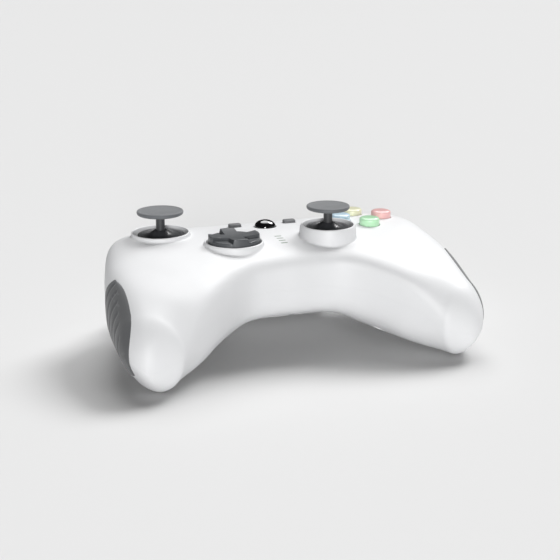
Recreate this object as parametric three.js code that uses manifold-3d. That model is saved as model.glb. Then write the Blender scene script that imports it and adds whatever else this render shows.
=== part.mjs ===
// A wireless two-handed game controller, as an assembly of separate pieces.
// Millimetres. +X is the player's right, +Y points away from the player, +Z is up.
// The origin is on the table, under the middle of the bounding box.
import * as THREE from "three";
import { mergeVertices } from "three/addons/utils/BufferGeometryUtils.js";
import Module from "manifold-3d";

const wasm = await Module();
wasm.setup();

// ---------------------------------------------------------------- driving dimensions

const WALL = 2.2; // shell wall
const GAP = 0.3; // between neighbours that don't move
const RUN = 0.4; // between a moving piece and its opening
const GRIP = { depth: 1.2, proud: 0.5, inside: 60, outside: 90 }; // its recess's depth, and its reach in x
const COARSE = [1, 8, 2]; // steps of an inner surface: per section, across, and round a handle's end

// Sections of the body from the middle to the right handle. Each is a vertical cut from an inner point on
// the player's side to an outer point on the far side. top and bottom hold the surface's height at those
// two ends and how far it bulges between them; part holds the height of the joint between the two shells.
const section = (inner, outer, top, bottom, part) => ({ inner, outer, top, bottom, part });
const SECTIONS = [
  section([0, -21.6], [0, 38], [41.8, 43, 2.6], [14.4, 13, 0.4], [28, 27]),
  section([9.5, -21.6], [18, 38.2], [41.8, 43, 2.6], [14.4, 13, 0.4], [28, 27]),
  section([18.5, -22.8], [36, 37.2], [41.8, 43.8, 2], [13.8, 11, 1.8], [27.5, 26.5]),
  section([26, -26.4], [54, 32.4], [41.2, 45, 1.6], [11.6, 9, 5], [26.5, 26]),
  section([33.5, -31.8], [67, 22], [38.8, 45, 1.6], [8.6, 7, 5.6], [25, 25.5]),
  section([41, -37.8], [72.6, 5], [35.6, 40.4, 1.8], [5, 6.4, 4], [22, 24]),
  section([47.8, -43.2], [75.2, -13], [32, 35.4, 2], [2, 6.6, 3], [18.5, 22]),
  section([53.2, -47.8], [75.6, -32.2], [26.8, 29, 2], [0.6, 7.6, 3.2], [14.5, 19]),
];
const TIP_REACH = 1.7; // how far a handle's rounded end runs past the last section, in sections
const NOSE_HEIGHT = 10; // of a handle's foremost point
const TOP_SQUARENESS = [6.5, 6.4]; // superellipse exponents at the inner and the outer edge
const BOTTOM_SQUARENESS = [4.4, 2.5];
const END_SQUARENESS = 2.3; // of a handle's last section, at both edges
const ROUND_FROM = 4.5; // sections from the middle, where a handle starts to grow rounder

// Edge of a grip panel in the side view, as [y, z]: down its front to the tip, then back up behind.
const GRIP_EDGE = [
  [-12, 36.4],
  [-18.5, 35.4],
  [-25, 33.4],
  [-32, 30.4],
  [-38.8, 26.8],
  [-42.6, 21.6],
  [-44, 15],
  [-43.6, 9],
  [-40.5, 5.8],
  [-33, 5],
  [-22, 7.6],
  [-13.6, 12.6],
  [-8.6, 19.6],
  [-7.4, 26.6],
  [-8.8, 32.4],
];

// Controls on the face: places in plan, and heights of what stands above the face.
const LEFT_STICK = { x: -46.2, y: 16.9, rim: 46.7, cap: 55.8, scale: 1 };
const RIGHT_STICK = { x: 20.5, y: -3.6, rim: 49.4, cap: 57.5, scale: 0.93 };
const STICK = {
  well: 11.4, // radius inside the collar
  collarTop: 12.1,
  collarBase: 13.4,
  cap: 9.8,
  capThick: 1.7,
  lever: 1.8,
  ball: 2.6, // radius of the lever where it tilts
  skirt: 9.6,
  skirtDrop: 1, // from the rim down to the skirt's edge
  skirtRise: 1.9, // from the skirt's edge up to the lever
  pivotDrop: 6.2, // from the rim down to the tilt axes
  module: 7, // half the width of the module under the stick
  track: 2.2, // reach of each sensor beside the module
};
const DPAD = {
  x: -20.5,
  y: -3.6,
  rim: 45.6,
  top: 48.6,
  well: 11.3,
  collarTop: 12,
  collarBase: 13.2,
  disc: 10.5,
  armWidth: 6.2,
  armRise: 1.5, // of the cross's ends over the plate
};
const FACE_BUTTONS = { x: 44.1, y: 16.7, spread: 9.75, radius: 4.45, rise: 3.3 };
const FLANGE = { wide: 0.8, drop: 3.2, thick: 1.2 }; // of a round button, under the shell
const GUIDE = { y: 18, radius: 4.7, rise: 3 };
const MENU_BUTTON = { x: 12.4, y: 22.2, width: 5.4, depth: 3.4, rise: 1.3 };
const LIGHTS = { first: -7.2, pitch: 2.77, count: 4, width: 2.8, depth: 0.75 };

const BOARD = { bottom: 29.7, thick: 1.6 };
const BUMPER = {
  inside: 15.6,
  outside: 57.5,
  low: 34.4,
  high: 42.1,
  front: 31,
  proud: 0.7,
  thick: 2.6,
  travel: 0.8,
};
const TRIGGER = { inside: 31.9, outside: 52.6, pivot: [32.6, 27.4], front: 28.4, rib: 1.6, low: 5 };
const PIN = { radius: 1.2 }; // of a trigger
const BRIDGE = { half: 14.9, low: 30.4, high: 41.3, thick: 3, proud: 0.35 };
const SYNC = { x: 8.6, z: 36.2, radius: 1.9, front: 31, rear: 38.5, collar: 1 };
const PORT = { halfWidth: 4.2, halfHeight: 1.7, z: 33.6, depth: 8, rear: 38.1, wall: 0.5, tongue: 2.6 };
const PACK = {
  halfWidth: 29.4,
  front: 3,
  rear: 36.3,
  slopeEnd: 27,
  frontHeight: 8.6,
  wall: 1.5,
  rimHeight: 19,
};
const BAY = { roof: 23.6, low: 15.5, wall: 1.4 }; // the room for the battery pack
const LATCH = { half: 7.8, low: 12.6, high: 18.6 };
const CELL = { radius: 7.1, length: 50, nub: 2, nubLength: 1, front: [12.1, 15], rear: [27.2, 9.4] };
const MOTOR = { x: 58, y: -20, z: 19.4, radius: 7.6, length: 12, weight: 7.4, weightThick: 4 };
const SCREW = { head: 15.4, headRadius: 2.4, headThick: 2.2, shank: 1.2, tip: 32.5, seat: 18 };
const PILLAR = { upper: 3, upperFoot: 25.5, lower: 3.9, lowerTop: 25.2 }; // radii, and where the two meet
const SCREWS = [
  [-37, -22],
  [37, -22],
  [0, -14.5],
  [-62, 4],
  [62, 4],
];

// ---------------------------------------------------------------- materials

function plastic(color, roughness, metalness = 0) {
  return new THREE.MeshStandardMaterial({ color, roughness, metalness });
}

const WHITE = plastic(0xf2f3f4, 0.42);
const GREY = plastic(0x5d6063, 0.6);
const CHARCOAL = plastic(0x3a3c3f, 0.65);
const BLACK_GLOSS = plastic(0x0b0b0c, 0.15);
const RUBBER = plastic(0x55585a, 0.85);
const SILICONE = plastic(0xb9bcbe, 0.8);
const CIRCUIT = plastic(0x1f5b39, 0.5);
const STEEL = plastic(0xb8bbc0, 0.3, 1);
const CLEAR_GREEN = plastic(0x9fb79f, 0.3);
const SLEEVE = plastic(0x2f5d8c, 0.4, 0.4);

// ---------------------------------------------------------------- solids

function toSolid(geometry) {
  const bare = geometry.index ? geometry.toNonIndexed() : geometry.clone();
  for (const name of Object.keys(bare.attributes)) if (name !== "position") bare.deleteAttribute(name);
  const merged = mergeVertices(bare, 1e-4);
  const kept = [];
  const index = merged.index.array;
  for (let i = 0; i < index.length; i += 3) {
    const [a, b, c] = [index[i], index[i + 1], index[i + 2]];
    if (a !== b && b !== c && c !== a) kept.push(a, b, c);
  }
  const mesh = new wasm.Mesh({
    numProp: 3,
    vertProperties: new Float32Array(merged.attributes.position.array),
    triVerts: new Uint32Array(kept),
  });
  return new wasm.Manifold(mesh);
}

function toGeometry(solid) {
  const mesh = solid.getMesh();
  const position = new Float32Array(mesh.numVert * 3);
  for (let i = 0; i < mesh.numVert; i++) {
    const from = i * mesh.numProp;
    position.set(mesh.vertProperties.subarray(from, from + 3), i * 3);
  }
  const geometry = new THREE.BufferGeometry();
  geometry.setAttribute("position", new THREE.BufferAttribute(position, 3));
  geometry.setIndex(new THREE.BufferAttribute(new Uint32Array(mesh.triVerts), 1));
  geometry.computeVertexNormals();
  return geometry;
}

const place = (geometry, x, y, z) => geometry.translate(x, y, z);

// A turned solid about the Z axis, from [radius, height] pairs that go up the outside and end on the axis.
function turned(profile, segments = 18) {
  const points = profile.map(([radius, height]) => new THREE.Vector2(radius, height));
  return new THREE.LatheGeometry(points, segments).rotateX(Math.PI / 2);
}

// A turned ring: its profile closes on itself.
function turnedRing(profile, segments = 20) {
  return turned([...profile, profile[0]], segments);
}

function rod(radius, low, high, segments = 20) {
  return turned([[0, low], [radius, low], [radius, high], [0, high]], segments);
}

function block(x0, x1, y0, y1, z0, z1) {
  return place(new THREE.BoxGeometry(x1 - x0, y1 - y0, z1 - z0), (x0 + x1) / 2, (y0 + y1) / 2, (z0 + z1) / 2);
}

// A prism along X, from a side view given as [y, z] points.
function sidePrism(outline, x0, x1) {
  const shape = new THREE.Shape(outline.map(([y, z]) => new THREE.Vector2(y, z)));
  const geometry = plate(shape, 0, x1 - x0);
  geometry.applyMatrix4(new THREE.Matrix4().set(0, 0, 1, x0, 1, 0, 0, 0, 0, 1, 0, 0, 0, 0, 0, 1));
  return geometry;
}

function plate(shape, z0, z1, curveSegments = 6) {
  const geometry = new THREE.ExtrudeGeometry(shape, { depth: z1 - z0, bevelEnabled: false, curveSegments });
  return geometry.translate(0, 0, z0);
}

function roundedRectangle(x, y, width, depth, radius) {
  const [w, d] = [width / 2, depth / 2];
  const shape = new THREE.Shape();
  shape.moveTo(x - w + radius, y - d);
  shape.lineTo(x + w - radius, y - d);
  shape.absarc(x + w - radius, y - d + radius, radius, -Math.PI / 2, 0);
  shape.absarc(x + w - radius, y + d - radius, radius, 0, Math.PI / 2);
  shape.absarc(x - w + radius, y + d - radius, radius, Math.PI / 2, Math.PI);
  shape.absarc(x - w + radius, y - d + radius, radius, Math.PI, 1.5 * Math.PI);
  return shape;
}

const alongX = (geometry) => geometry.rotateY(Math.PI / 2);
const mirrorX = (solid) => solid.mirror([1, 0, 0]);

// ---------------------------------------------------------------- the body's surface

const flat = (s) => [...s.inner, ...s.outer, ...s.top, ...s.bottom, ...s.part];
const mirrored = ([x0, y0, x1, ...rest]) => [-x0, y0, -x1, ...rest];
const HALF = SECTIONS.map(flat);
const ALL_SECTIONS = [...HALF.slice(1).reverse().map(mirrored), ...HALF];
const LAST = ALL_SECTIONS.length - 1;

// Catmull-Rom through the sections; along runs from 0 at the left handle to LAST at the right one.
function sectionAt(along) {
  const i = Math.min(Math.floor(along), LAST - 1);
  const t = along - i;
  const pick = (k) => ALL_SECTIONS[Math.max(0, Math.min(LAST, k))];
  const [p0, p1, p2, p3] = [pick(i - 1), pick(i), pick(i + 1), pick(i + 2)];
  return p1.map((b, k) => {
    const [a, c, d] = [p0[k], p2[k], p3[k]];
    const square = 2 * a - 5 * b + 4 * c - d;
    const cube = 3 * b - a - 3 * c + d;
    return b + 0.5 * t * (c - a + t * (square + t * cube));
  });
}

// How a handle's end runs on past the last section: each number keeps the slope it ends with.
const RUN_ON = ALL_SECTIONS[LAST].map((value, k) => (value - ALL_SECTIONS[LAST - 1][k]) / 2);
const RUN_ON_LENGTH = Math.hypot((RUN_ON[0] + RUN_ON[2]) / 2, (RUN_ON[1] + RUN_ON[3]) / 2);

function sectionPast(along, sections) {
  const sign = along < LAST / 2 ? -1 : 1;
  return sectionAt(along).map((value, k) => value + RUN_ON[k] * sections * (k === 0 || k === 2 ? sign : 1));
}

// A point of the surface that lies inset inside the body. along and across (0 at the inner edge, 1 at the
// outer one) place it in plan; tip runs from 0 at the last section to 90 degrees at a handle's end. upper
// picks the surface above or below the joint, and lift moves that joint up.
function bodyPoint(along, across, tip, upper, inset, lift) {
  const past = Math.sin(tip) * (TIP_REACH - inset / RUN_ON_LENGTH);
  const [ix, iy, ox, oy, ti, to, crown, bi, bo, belly, pi, po] = sectionPast(along, past);
  const swing = Math.cos(tip);
  const offset = (across - 0.5) * (1 - (2 * inset) / Math.hypot(ox - ix, oy - iy)) * swing;
  const x = (ix + ox) / 2 + (ox - ix) * offset;
  const y = (iy + oy) / 2 + (oy - iy) * offset;
  const bulge = 4 * across * (1 - across);
  const joint = (pi + po) / 2 + (po - pi) * (across - 0.5) * swing;
  const parting = NOSE_HEIGHT + (joint - NOSE_HEIGHT) * swing + lift;
  const surface = upper
    ? ti + (to - ti) * across + crown * bulge - inset
    : bi + (bo - bi) * across - belly * bulge + inset;
  const square = (upper ? TOP_SQUARENESS : BOTTOM_SQUARENESS)[across < 0.5 ? 0 : 1];
  const nearEnd = THREE.MathUtils.smoothstep(Math.abs(along - LAST / 2), ROUND_FROM, LAST / 2);
  const power = square + (END_SQUARENESS - square) * nearEnd;
  const shoulder = Math.pow(Math.max(0, 1 - Math.pow(Math.abs(2 * across - 1), power)), 1 / power);
  const z = parting + (surface - parting) * shoulder * swing;
  return [x, y, Math.max(z, inset)];
}

// The closed solid between the surface and the joint, above it (upper) or below it.
function bodyHalf(upper, inset, lift, perSection = 2, rows = 12, tipSteps = 4) {
  const columns = [];
  for (let k = tipSteps; k > 0; k--) columns.push([0, (k / tipSteps) * (Math.PI / 2)]);
  for (let k = 0; k <= LAST * perSection; k++) columns.push([k / perSection, 0]);
  for (let k = 1; k <= tipSteps; k++) columns.push([LAST, (k / tipSteps) * (Math.PI / 2)]);
  const across = (row) => 0.5 - 0.5 * Math.cos((Math.PI * row) / rows);
  const points = columns.map(([along, tip]) =>
    Array.from({ length: rows + 1 }, (_, row) =>
      bodyPoint(along, tip > 1.57 ? 0.5 : across(row), tip, upper, inset, lift),
    ),
  );
  for (const end of [0, columns.length - 1]) points[end] = points[end].map(() => points[end][rows / 2]);
  const triangles = [];
  const quad = (a, b, c, d) => {
    if (upper) triangles.push(a, b, c, a, c, d);
    else triangles.push(a, c, b, a, d, c);
  };
  for (let c = 0; c + 1 < columns.length; c++) {
    const [here, next] = [points[c], points[c + 1]];
    for (let r = 0; r < rows; r++) quad(here[r], next[r], next[r + 1], here[r + 1]);
    quad(here[rows], next[rows], next[0], here[0]);
  }
  const geometry = new THREE.BufferGeometry();
  geometry.setAttribute("position", new THREE.Float32BufferAttribute(triangles.flat(), 3));
  return toSolid(geometry);
}

// The body without its joint, inset all round.
const wholeBody = (inset) => bodyHalf(true, inset, -0.1).add(bodyHalf(false, inset, 0.1));

// The height of the body's upper face over a point in plan.
const FACE = (() => {
  const mesh = toGeometry(bodyHalf(true, 0, 0));
  return new THREE.Mesh(mesh, new THREE.MeshBasicMaterial({ side: THREE.DoubleSide }));
})();
function faceHeight(x, y) {
  const down = new THREE.Raycaster(new THREE.Vector3(x, y, 100), new THREE.Vector3(0, 0, -1));
  return down.intersectObject(FACE)[0].point.z;
}

// The lowest height of that face around a circle, under which a button's flange has to stay.
function lowestFace(x, y, radius) {
  const angles = Array.from({ length: 12 }, (_, i) => (i / 12) * 2 * Math.PI);
  return Math.min(...angles.map((a) => faceHeight(x + radius * Math.cos(a), y + radius * Math.sin(a))));
}

// ---------------------------------------------------------------- assembly

const controller = new THREE.Group();

function add(name, made, material) {
  const geometry = made.isBufferGeometry ? made : toGeometry(made);
  const mesh = new THREE.Mesh(geometry, material);
  mesh.name = name;
  controller.add(mesh);
}

// ---------------------------------------------------------------- shells and grips

// Side view of a grip panel: a leaf that leans along the handle, grown outwards.
function leafOutline(grow) {
  const corners = GRIP_EDGE.map(([y, z]) => new THREE.Vector3(y, z, 0));
  const points = new THREE.CatmullRomCurve3(corners, true, "centripetal").getPoints(28).slice(0, -1);
  const middle = new THREE.Vector3();
  for (const point of points) middle.addScaledVector(point, 1 / points.length);
  return points.map((point) => {
    const out = point.clone().sub(middle).setLength(grow);
    return [point.x + out.x, point.y + out.y];
  });
}

// An outline's points in the order that sidePrism takes.
function wound(outline) {
  const area = THREE.ShapeUtils.area(outline.map(([a, b]) => new THREE.Vector2(a, b)));
  return area < 0 ? outline.reverse() : outline;
}

function rightLeaf(grow) {
  return toSolid(sidePrism(wound(leafOutline(grow)), GRIP.inside, GRIP.outside));
}

function collar(x, y, rim, well, top, base) {
  const foot = faceHeight(x, y) - 6;
  const profile = [
    [well, foot],
    [base, foot],
    [base, rim - 6],
    [top, rim - 0.2],
    [well, rim],
  ];
  return toSolid(place(turnedRing(profile, 24), x, y, 0));
}

// An upright cylinder, to cut a hole with or to stand as a pillar.
function hole(x, y, radius, low = 30, high = 60, segments = 18) {
  return toSolid(place(rod(radius, low, high, segments), x, y, 0));
}

function faceButtonPlaces() {
  const { x, y, spread } = FACE_BUTTONS;
  return [
    ["face_button_near", x, y - spread, plastic(0xaadcb0, 0.35)],
    ["face_button_right", x + spread, y, plastic(0xe9b4b2, 0.35)],
    ["face_button_left", x - spread, y, plastic(0xbcd8e6, 0.35)],
    ["face_button_far", x, y + spread, plastic(0xdcdab4, 0.35)],
  ];
}

function buildShells() {
  const b = BUMPER;
  const t = TRIGGER;
  let top = bodyHalf(true, 0, GAP / 2).subtract(bodyHalf(true, WALL, -2, ...COARSE));
  const collars = [
    [LEFT_STICK, STICK, LEFT_STICK.scale],
    [RIGHT_STICK, STICK, RIGHT_STICK.scale],
    [DPAD, DPAD, 1],
  ];
  for (const [at, size, scale] of collars) {
    const [well, rim, base] = [size.well, size.collarTop, size.collarBase].map((radius) => radius * scale);
    top = top
      .add(collar(at.x, at.y, at.rim, well, rim, base))
      .subtract(hole(at.x, at.y, well, 30, 60, 24));
  }
  for (const [, x, y] of faceButtonPlaces()) {
    const flange = FACE_BUTTONS.radius + FLANGE.wide;
    const room = lowestFace(x, y, flange) - FLANGE.drop + GAP;
    top = top
      .subtract(hole(x, y, FACE_BUTTONS.radius + RUN))
      .subtract(hole(x, y, flange + RUN, 28, room));
  }
  top = top.subtract(hole(0, GUIDE.y, GUIDE.radius + RUN));
  for (const side of [-1, 1]) {
    const { x, y, width, depth } = MENU_BUTTON;
    const slot = roundedRectangle(side * x, y, width + 2 * RUN, depth + 2 * RUN, 1.2);
    top = top.subtract(toSolid(plate(slot, 35, 55)));
  }
  for (let i = 0; i < LIGHTS.count; i++) {
    const y = LIGHTS.first + i * LIGHTS.pitch;
    const [w, d] = [LIGHTS.width / 2 + 0.15, LIGHTS.depth / 2 + 0.15];
    top = top.subtract(toSolid(block(-w, w, y - d, y + d, 35, 55)));
  }

  let bottom = bodyHalf(false, 0, -GAP / 2).subtract(bodyHalf(false, WALL, 2, ...COARSE));
  const [bayHalf, bayFront, bayRear] = [PACK.halfWidth + GAP, PACK.front - GAP, PACK.rear + GAP];
  const [shellHalf, shellRoof] = [bayHalf + BAY.wall, BAY.roof + BAY.wall];
  bottom = bottom
    .add(toSolid(block(-shellHalf, shellHalf, bayFront - BAY.wall, bayRear + 1, BAY.low, shellRoof)))
    .subtract(toSolid(block(-bayHalf, bayHalf, bayFront, bayRear, -5, BAY.roof)));

  // The ribs that carry each trigger's pin.
  const ribs = [t.inside - RUN - t.rib, t.outside + RUN];
  for (const rib of ribs) {
    const blank = toSolid(block(rib, rib + t.rib, t.pivot[0] - 4, 40, 8, t.pivot[1] + 3.4));
    const web = blank.intersect(bodyHalf(false, 0.6, 8));
    const pinHole = toSolid(place(alongX(rod(PIN.radius + 0.2, -60, 60, 12)), 0, ...t.pivot));
    const drilled = web.subtract(pinHole);
    bottom = bottom.add(drilled).add(mirrorX(drilled));
  }

  // Screw pillars: the upper shell's pillar stops over the lower one's, and the screw runs up through both.
  for (const [x, y] of SCREWS) {
    const roof = faceHeight(x, y) - 1;
    top = top
      .add(hole(x, y, PILLAR.upper, PILLAR.upperFoot, roof, 12))
      .subtract(hole(x, y, SCREW.shank + GAP, 20, 34, 12));
    bottom = bottom
      .add(hole(x, y, PILLAR.lower, 0, PILLAR.lowerTop, 12).intersect(bodyHalf(false, 0.3, 6)))
      .subtract(hole(x, y, SCREW.shank + GAP, -5, 30, 12))
      .subtract(hole(x, y, SCREW.headRadius + 0.5, -5, SCREW.seat, 16));
  }

  // Recesses for the grip panels, through to a floor a little inside the surface.
  const recess = rightLeaf(GAP);
  const rightRecess = recess.subtract(wholeBody(GRIP.depth));
  for (const cut of [rightRecess, mirrorX(rightRecess)]) {
    top = top.subtract(cut);
    bottom = bottom.subtract(cut);
  }

  // Openings for the bumpers, the rear bridge and the triggers.
  const bumperFront = b.front - b.travel - RUN;
  const triggerTop = b.low - RUN - 1.2;
  const [bumperIn, bumperOut] = [b.inside - RUN, b.outside + RUN];
  const bumperCut = toSolid(block(bumperIn, bumperOut, bumperFront, 60, b.low - RUN, b.high + 0.2));
  const triggerCut = toSolid(block(t.inside - RUN, t.outside + RUN, t.front, 60, t.low, triggerTop));
  for (const cut of [bumperCut, mirrorX(bumperCut), triggerCut, mirrorX(triggerCut)]) {
    top = top.subtract(cut);
    bottom = bottom.subtract(cut);
  }
  const [ribLow, ribHigh] = [ribs[0] - GAP, ribs[1] + t.rib + GAP];
  const ribCut = toSolid(block(ribLow, ribHigh, t.pivot[0] - 4 - GAP, 60, t.low, triggerTop));
  top = top.subtract(ribCut).subtract(mirrorX(ribCut));
  const bridgeHalf = BRIDGE.half + GAP;
  top = top.subtract(toSolid(block(-bridgeHalf, bridgeHalf, 30, 60, BRIDGE.low - GAP, BRIDGE.high + GAP)));
  add("top_shell", top, WHITE);
  add("bottom_shell", bottom, WHITE);
}

function buildGrips() {
  const right = wholeBody(-GRIP.proud).subtract(wholeBody(GRIP.depth - GAP)).intersect(rightLeaf(0));
  add("right_grip_panel", right, RUBBER);
  add("left_grip_panel", mirrorX(right), RUBBER);
}

// ---------------------------------------------------------------- sticks

function buildStick(side, at) {
  const k = at.scale;
  const pivot = at.rim - STICK.pivotDrop;
  const edge = at.rim - STICK.skirtDrop;
  const apex = edge + STICK.skirtRise;
  const capLow = at.cap - STICK.capThick;
  const cap = STICK.cap * k;
  const skirt = STICK.skirt * k;
  const boardTop = BOARD.bottom + BOARD.thick;
  const here = (geometry) => place(geometry, at.x, at.y, 0);

  const capProfile = [
    [0, capLow + 0.2],
    [cap - 0.9, capLow],
    [cap - 0.2, capLow + 0.35],
    [cap, capLow + 0.85],
    [cap - 0.2, at.cap - 0.35],
    [cap - 0.8, at.cap],
    [cap * 0.6, at.cap - 0.25],
    [0, at.cap - 0.35],
  ];
  add(`${side}_thumb_cap`, here(turned(capProfile)), GREY);
  const leverProfile = [
    [0, pivot - 2.6],
    [1.6, pivot - 2.2],
    [STICK.ball, pivot - 0.8],
    [STICK.ball, pivot + 0.8],
    [STICK.lever, pivot + 2],
    [STICK.lever, capLow - 0.1],
    [0, capLow - 0.1],
  ];
  add(`${side}_stick_lever`, here(turned(leverProfile, 16)), CHARCOAL);
  const bore = STICK.lever + GAP;
  const skirtProfile = [
    [bore, edge - 0.6],
    [skirt - 1, edge - 1],
    [skirt, edge - 0.7],
    [skirt, edge],
    [skirt * 0.72, edge + 0.1],
    [skirt * 0.5, edge + 0.55],
    [bore + 0.9, apex],
    [bore, apex],
  ];
  add(`${side}_stick_skirt`, here(turnedRing(skirtProfile)), CHARCOAL);
  const rocker = [STICK.ball + 0.5, STICK.ball + 1.8];
  const rockerProfile = [
    [rocker[0], pivot - 1.5],
    [rocker[1], pivot - 1.5],
    [rocker[1], pivot + 1.5],
    [rocker[0], pivot + 1.5],
  ];
  add(`${side}_stick_rocker`, here(turnedRing(rockerProfile, 16)), SILICONE);
  add(`${side}_stick_seat`, here(rod(3.4, pivot - 4.6, pivot - 3.2, 16)), STEEL);
  const [half, reach] = [STICK.module, STICK.module + STICK.track];
  const housing = toSolid(here(block(-half, half, -half, half, boardTop + 0.2, pivot - 0.4)))
    .subtract(toSolid(here(rod(half - 1.1, boardTop + 1.2, pivot + 5, 20))))
    .add(toSolid(here(block(half, reach, -4, 4, boardTop + 0.2, pivot - 1.6))))
    .add(toSolid(here(block(-4, 4, half, reach, boardTop + 0.2, pivot - 1.6))));
  add(`${side}_stick_module`, housing, CHARCOAL);
}

// ---------------------------------------------------------------- directional pad

function buildPad() {
  const { x, y, disc, top, armWidth, armRise } = DPAD;
  const floor = top - armRise;
  const plateProfile = [
    [0, floor - 3.6],
    [disc - 0.6, floor - 3.6],
    [disc, floor - 3.2],
    [disc, floor + 0.2],
    [disc - 0.5, floor + 0.5],
    [disc * 0.6, floor - 0.1],
    [0, floor - 0.5],
  ];
  const crossProfile = [
    [0, floor - 3],
    [disc, floor - 3],
    [disc, top - 0.3],
    [disc - 0.5, top],
    [disc * 0.75, top - 0.35],
    [disc * 0.4, top - 0.9],
    [0, top - 1.1],
  ];
  const plateBody = toSolid(place(turned(plateProfile, 24), x, y, 0));
  const arms = [
    block(x - disc, x + disc, y - armWidth / 2, y + armWidth / 2, floor - 3, top + 2),
    block(x - armWidth / 2, x + armWidth / 2, y - disc, y + disc, floor - 3, top + 2),
  ].map(toSolid);
  // The cross rises from a dip in the middle to its full height at the edge.
  const dish = toSolid(place(turned(crossProfile, 24), x, y, 0));
  const cross = arms[0].add(arms[1]).intersect(dish);
  const hub = toSolid(place(rod(2, floor - 6.5, floor - 3.4, 16), x, y, 0));
  add("direction_pad", plateBody.add(cross).add(hub), CHARCOAL);
  const ring = [
    [2.7, floor - 6.6],
    [6.5, floor - 6.6],
    [6.5, floor - 5.4],
    [2.7, floor - 5.4],
  ];
  add("pad_rocker_ring", place(turnedRing(ring, 20), x, y, 0), GREY);
  const membrane = rod(8, BOARD.bottom + BOARD.thick + 0.3, floor - 8.2, 20);
  add("pad_membrane", place(membrane, x, y, 0), SILICONE);
}

// ---------------------------------------------------------------- push buttons

function buildButton(name, x, y, radius, rise, material, dome = 0.9) {
  const top = faceHeight(x, y) + rise;
  const flange = radius + FLANGE.wide;
  const lip = lowestFace(x, y, flange) - FLANGE.drop;
  const profile = [
    [0, lip - FLANGE.thick],
    [flange, lip - FLANGE.thick],
    [flange, lip],
    [radius, lip],
    [radius, top - dome],
    [radius * 0.93, top - dome * 0.45],
    [radius * 0.75, top - dome * 0.12],
    [0, top],
  ];
  add(name, place(turned(profile), x, y, 0), material);
}

function buildButtons() {
  for (const [name, x, y, material] of faceButtonPlaces()) {
    buildButton(name, x, y, FACE_BUTTONS.radius, FACE_BUTTONS.rise, material);
  }
  buildGuideButton();
  for (const [name, side] of [["back_button", -1], ["start_button", 1]]) {
    const { x, y, width, depth, rise } = MENU_BUTTON;
    const face = faceHeight(side * x, y);
    const lip = lowestFace(side * x, y, 3.6) - FLANGE.drop;
    const cap = toSolid(plate(roundedRectangle(side * x, y, width, depth, 1), lip - 0.5, face + rise, 3));
    const foot = roundedRectangle(side * x, y, width + 1.6, depth + 1.6, 1);
    const flange = toSolid(plate(foot, lip - FLANGE.thick, lip, 3));
    add(name, cap.add(flange), GREY);
  }
  const boardTop = BOARD.bottom + BOARD.thick;
  const pads = rod(FACE_BUTTONS.spread + 2.4, boardTop + 0.3, boardTop + 1.9, 20);
  add("face_button_membrane", place(pads, FACE_BUTTONS.x, FACE_BUTTONS.y, 0), SILICONE);
  add(
    "menu_button_membrane",
    plate(roundedRectangle(0, 21.8, 33, 9.5, 3), boardTop + 0.3, boardTop + 3.2, 3),
    SILICONE,
  );
}

function buildGuideButton() {
  const face = faceHeight(0, GUIDE.y);
  const { radius, rise } = GUIDE;
  const steps = 4;
  const dome = Array.from({ length: steps + 1 }, (_, i) => {
    const angle = (i / steps) * (Math.PI / 2);
    return [radius * Math.cos(angle), face + 0.1 + (rise - 0.1) * Math.sin(angle)];
  });
  dome[steps][0] = 0;
  const flange = radius + FLANGE.wide;
  const lip = lowestFace(0, GUIDE.y, flange) - FLANGE.drop;
  const foot = lip - FLANGE.thick;
  const profile = [[0, foot], [flange, foot], [flange, lip], [radius, lip], ...dome];
  add("guide_button", place(turned(profile), 0, GUIDE.y, 0), BLACK_GLOSS);
}

function buildLightGuide() {
  const last = LIGHTS.first + (LIGHTS.count - 1) * LIGHTS.pitch;
  const low = faceHeight(0, LIGHTS.first) - WALL - 2.6;
  let guide = toSolid(block(-3, 3, LIGHTS.first - 1.6, last + 1.6, low, low + 1.2));
  for (let i = 0; i < LIGHTS.count; i++) {
    const y = LIGHTS.first + i * LIGHTS.pitch;
    const [w, d] = [LIGHTS.width / 2, LIGHTS.depth / 2];
    guide = guide.add(toSolid(block(-w, w, y - d, y + d, low + 0.6, faceHeight(0, y) + 0.05)));
  }
  add("light_guide", guide, CLEAR_GREEN);
}

// ---------------------------------------------------------------- rear controls

const rearRod = (x, z, radius, y0, y1, segments = 16) =>
  toSolid(place(rod(radius, y0, y1, segments).rotateX(-Math.PI / 2), x, 0, z));

function rearBlock(halfWidth, halfHeight, y0, y1) {
  return toSolid(block(-halfWidth, halfWidth, y0, y1, PORT.z - halfHeight, PORT.z + halfHeight));
}

function buildBridge() {
  const { half, low, high, thick, proud } = BRIDGE;
  const skin = bodyHalf(true, -proud, 0).subtract(bodyHalf(true, thick, -2, ...COARSE));
  const strip = skin.intersect(toSolid(block(-half, half, 33, 60, low, high)));
  const port = rearBlock(PORT.halfWidth + GAP, PORT.halfHeight + GAP, 20, 60);
  const syncHole = rearRod(SYNC.x, SYNC.z, SYNC.radius + RUN, 20, 60);
  add("rear_bridge", strip.subtract(port).subtract(syncHole), GREY);
  const stem = rearRod(SYNC.x, SYNC.z, SYNC.radius, SYNC.front + 1, SYNC.rear);
  const foot = rearRod(SYNC.x, SYNC.z, SYNC.radius + SYNC.collar, SYNC.front, SYNC.front + 1.4);
  add("sync_button", stem.add(foot), WHITE);
  const { halfWidth, halfHeight, depth, rear, wall } = PORT;
  const socket = rearBlock(halfWidth, halfHeight, rear - depth, rear);
  const mouth = rearBlock(halfWidth - wall, halfHeight - wall, rear - depth + 1, rear + 1);
  const tongue = rearBlock(PORT.tongue, 0.35, rear - depth + 0.5, rear - 1.5);
  add("charge_socket", socket.subtract(mouth).add(tongue), STEEL);
}

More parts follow.
